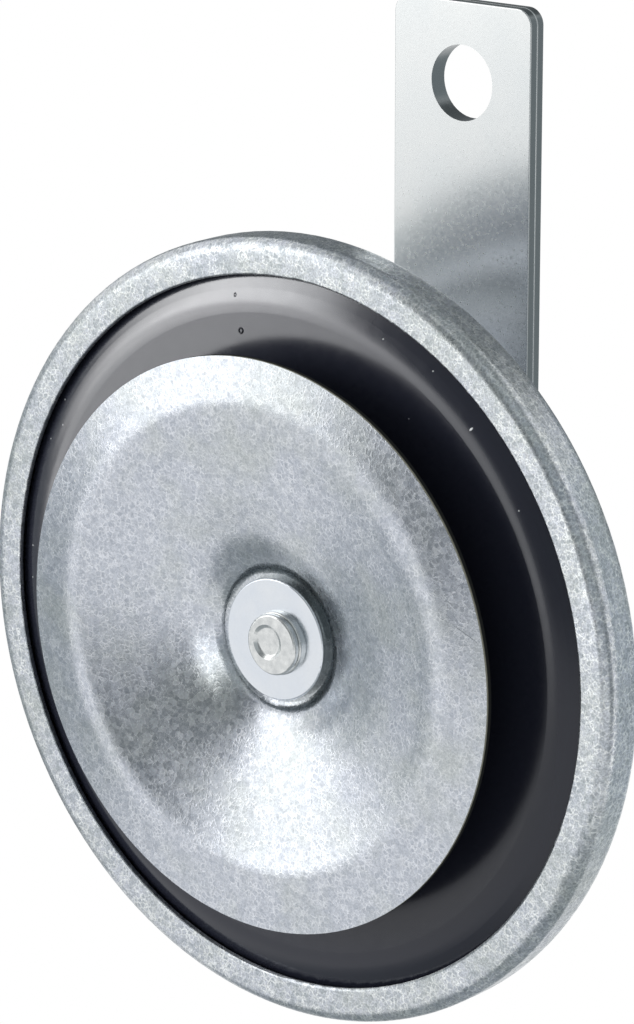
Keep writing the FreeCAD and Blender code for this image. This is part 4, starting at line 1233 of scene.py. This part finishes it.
@dataclass
class Studio:
    """Pale floor, white surroundings, soft lamps and grey cards."""

    fill: float = 0.8
    floor_drop: float = 2.0
    floor_size: float = 40.0
    floor_hex: str = "f6f6f6"
    floor_roughness: float = 0.9
    patches: tuple[StudioPatch, ...] = (
        Softbox("key_softbox", -46.0, 18.3, 30.0, 47.6, 1.05),
        Softbox("rim_lamp", -22.0, -9.0, 18.0, 20.0, 0.95, 1.5, ("rim_ring",)),
        Softbox("gloss_outer", -50.5, 9.0, 35.0, 34.0, 3.5, 1.5, ("diaphragm",)),
        Softbox("gloss_middle", -48.5, 11.0, 27.0, 26.0, 4.6, 1.5, ("diaphragm",)),
        Softbox("gloss_inner", -46.0, 11.0, 17.0, 18.0, 5.8, 1.5, ("diaphragm",)),
        Softbox("gloss_skirt", -47.0, -10.5, 18.0, 15.0, 4.8, 1.5, ("diaphragm",)),
        Softbox("gloss_strip", -28.0, -8.0, 13.0, 16.0, 2.4, 1.5, ("diaphragm",)),
        Softbox("throat_lamp", 9.0, 3.0, 22.0, 22.0, 1.6, 1.5, ("tone_disc",)),
        Softbox("throat_left_lamp", -125.0, -19.0, 40.0, 30.0, 0.3, 1.5, ("tone_disc",)),
        GreyCard("front_card", -10.5, 21.0, 45.0, 74.0, 0.25, 1.7),
        GreyCard("front_right_card", 33.0, 24.0, 62.0, 72.0, 0.5, 1.71),
        GreyCard("right_card", 76.0, 20.0, 38.0, 104.0, 0.34, 1.72),
        GreyCard("top_card", 0.0, 73.0, 360.0, 34.0, 0.34, 1.73),
        GreyCard("under_card", 0.0, -65.0, 360.0, 50.0, 0.42, 1.74),
        GreyCard("low_left_card", -99.0, -14.0, 78.0, 44.0, 0.5, 1.69),
        GreyCard("back_left_card", -160.0, 25.0, 90.0, 72.0, 0.24, 1.7),
        GreyCard("back_right_card", 150.0, -6.0, 68.0, 76.0, 0.6, 1.7),
    )

    def build(self) -> None:
        """Set the world, the floor and the patches."""
        self.build_world()
        self.build_floor()
        for patch in self.patches:
            patch.build()
            LOG.info("studio patch %s", patch.name)

    def seen_or_mirrored(self, tree: Tree) -> Socket:
        """Tell rays that see or mirror the background from those that light the horn.

        Args:
            tree: The node tree of the world or the floor.

        Returns:
            A socket that is 1 for camera, glossy and transmission rays.
        """
        rays = add_node(tree, "LightPath")
        seen = add_node(tree, "Math", {
            0: rays.outputs["Is Camera Ray"], 1: rays.outputs["Is Glossy Ray"]}, operation="MAXIMUM")
        return add_node(tree, "Math", {
            0: seen.outputs[0], 1: rays.outputs["Is Transmission Ray"]}, operation="MAXIMUM").outputs[0]

    def build_world(self) -> None:
        """Make the world white where it is seen or mirrored, and a plain fill otherwise."""
        world = bpy.data.worlds.new("white_studio")
        bpy.context.scene.world = world
        world.use_nodes = True
        tree = world.node_tree
        tree.nodes.clear()
        fill = add_node(tree, "Background", {"Color": WHITE, "Strength": self.fill})
        white = add_node(tree, "Background", {"Color": WHITE, "Strength": 1.0})
        choice = add_node(tree, "MixShader", {
            0: self.seen_or_mirrored(tree), 1: fill.outputs[0], 2: white.outputs[0]})
        add_node(tree, "OutputWorld", {"Surface": choice.outputs[0]})

    def build_floor(self) -> None:
        """Make the floor well below the horn, which hangs by its bracket."""
        half = self.floor_size / 2
        level = AXIS.z - self.floor_drop
        floor = new_mesh(
            "studio_floor",
            [(-half, -half, level), (half, -half, level), (half, half, level), (-half, half, level)],
            [(0, 1, 2, 3)])
        material, tree, matt = new_material("white_floor")
        give(tree, matt, {"Base Color": linear(self.floor_hex), "Roughness": self.floor_roughness})
        white = add_node(tree, "Emission", {"Color": WHITE, "Strength": 1.0})
        choice = add_node(tree, "MixShader", {
            0: self.seen_or_mirrored(tree), 1: matt.outputs[0], 2: white.outputs[0]})
        give(tree, tree.nodes["Material Output"], {"Surface": choice.outputs[0]})
        floor.data.materials.append(material)


@dataclass(frozen=True)
class PhotoCamera:
    """The camera that was solved from the photograph, aimed at a place in millimetres from the axis."""

    azimuth: float = 40.0
    elevation: float = 15.67
    distance: float = 0.498
    lens: float = 154.84
    sensor: float = 36.0
    aim: tuple[float, float] = (4.7742, 15.6509)
    clip: tuple[float, float] = (0.01, 100.0)

    def build(self) -> None:
        """Make the camera and choose it for the scene."""
        data = bpy.data.cameras.new("photo_camera")
        data.lens = self.lens
        data.sensor_width = self.sensor
        data.clip_start, data.clip_end = self.clip
        camera = bpy.data.objects.new("photo_camera", data)
        back = direction(self.azimuth, self.elevation)
        target = AXIS.middle() + Vector((self.aim[0], 0.0, self.aim[1])) * MM
        camera.location = target + back * self.distance
        camera.rotation_euler = (-back).to_track_quat("-Z", "Y").to_euler()
        bpy.context.scene.collection.objects.link(camera)
        bpy.context.scene.camera = camera


def main() -> None:
    """Build the camera, the studio and the horn's pieces in order."""
    logging.basicConfig(level=logging.INFO, format="%(message)s")
    bpy.context.scene.view_settings.view_transform = "Standard"
    PhotoCamera().build()
    Studio().build()
    nodes = PackedNodes()
    nodes.dress()
    for assembly in (MountingStud(), AdjustingScrew(), FaceMarks()):
        assembly.build(nodes.materials)
        LOG.info("built %s", type(assembly).__name__)


if __name__ == "__main__":
    main()
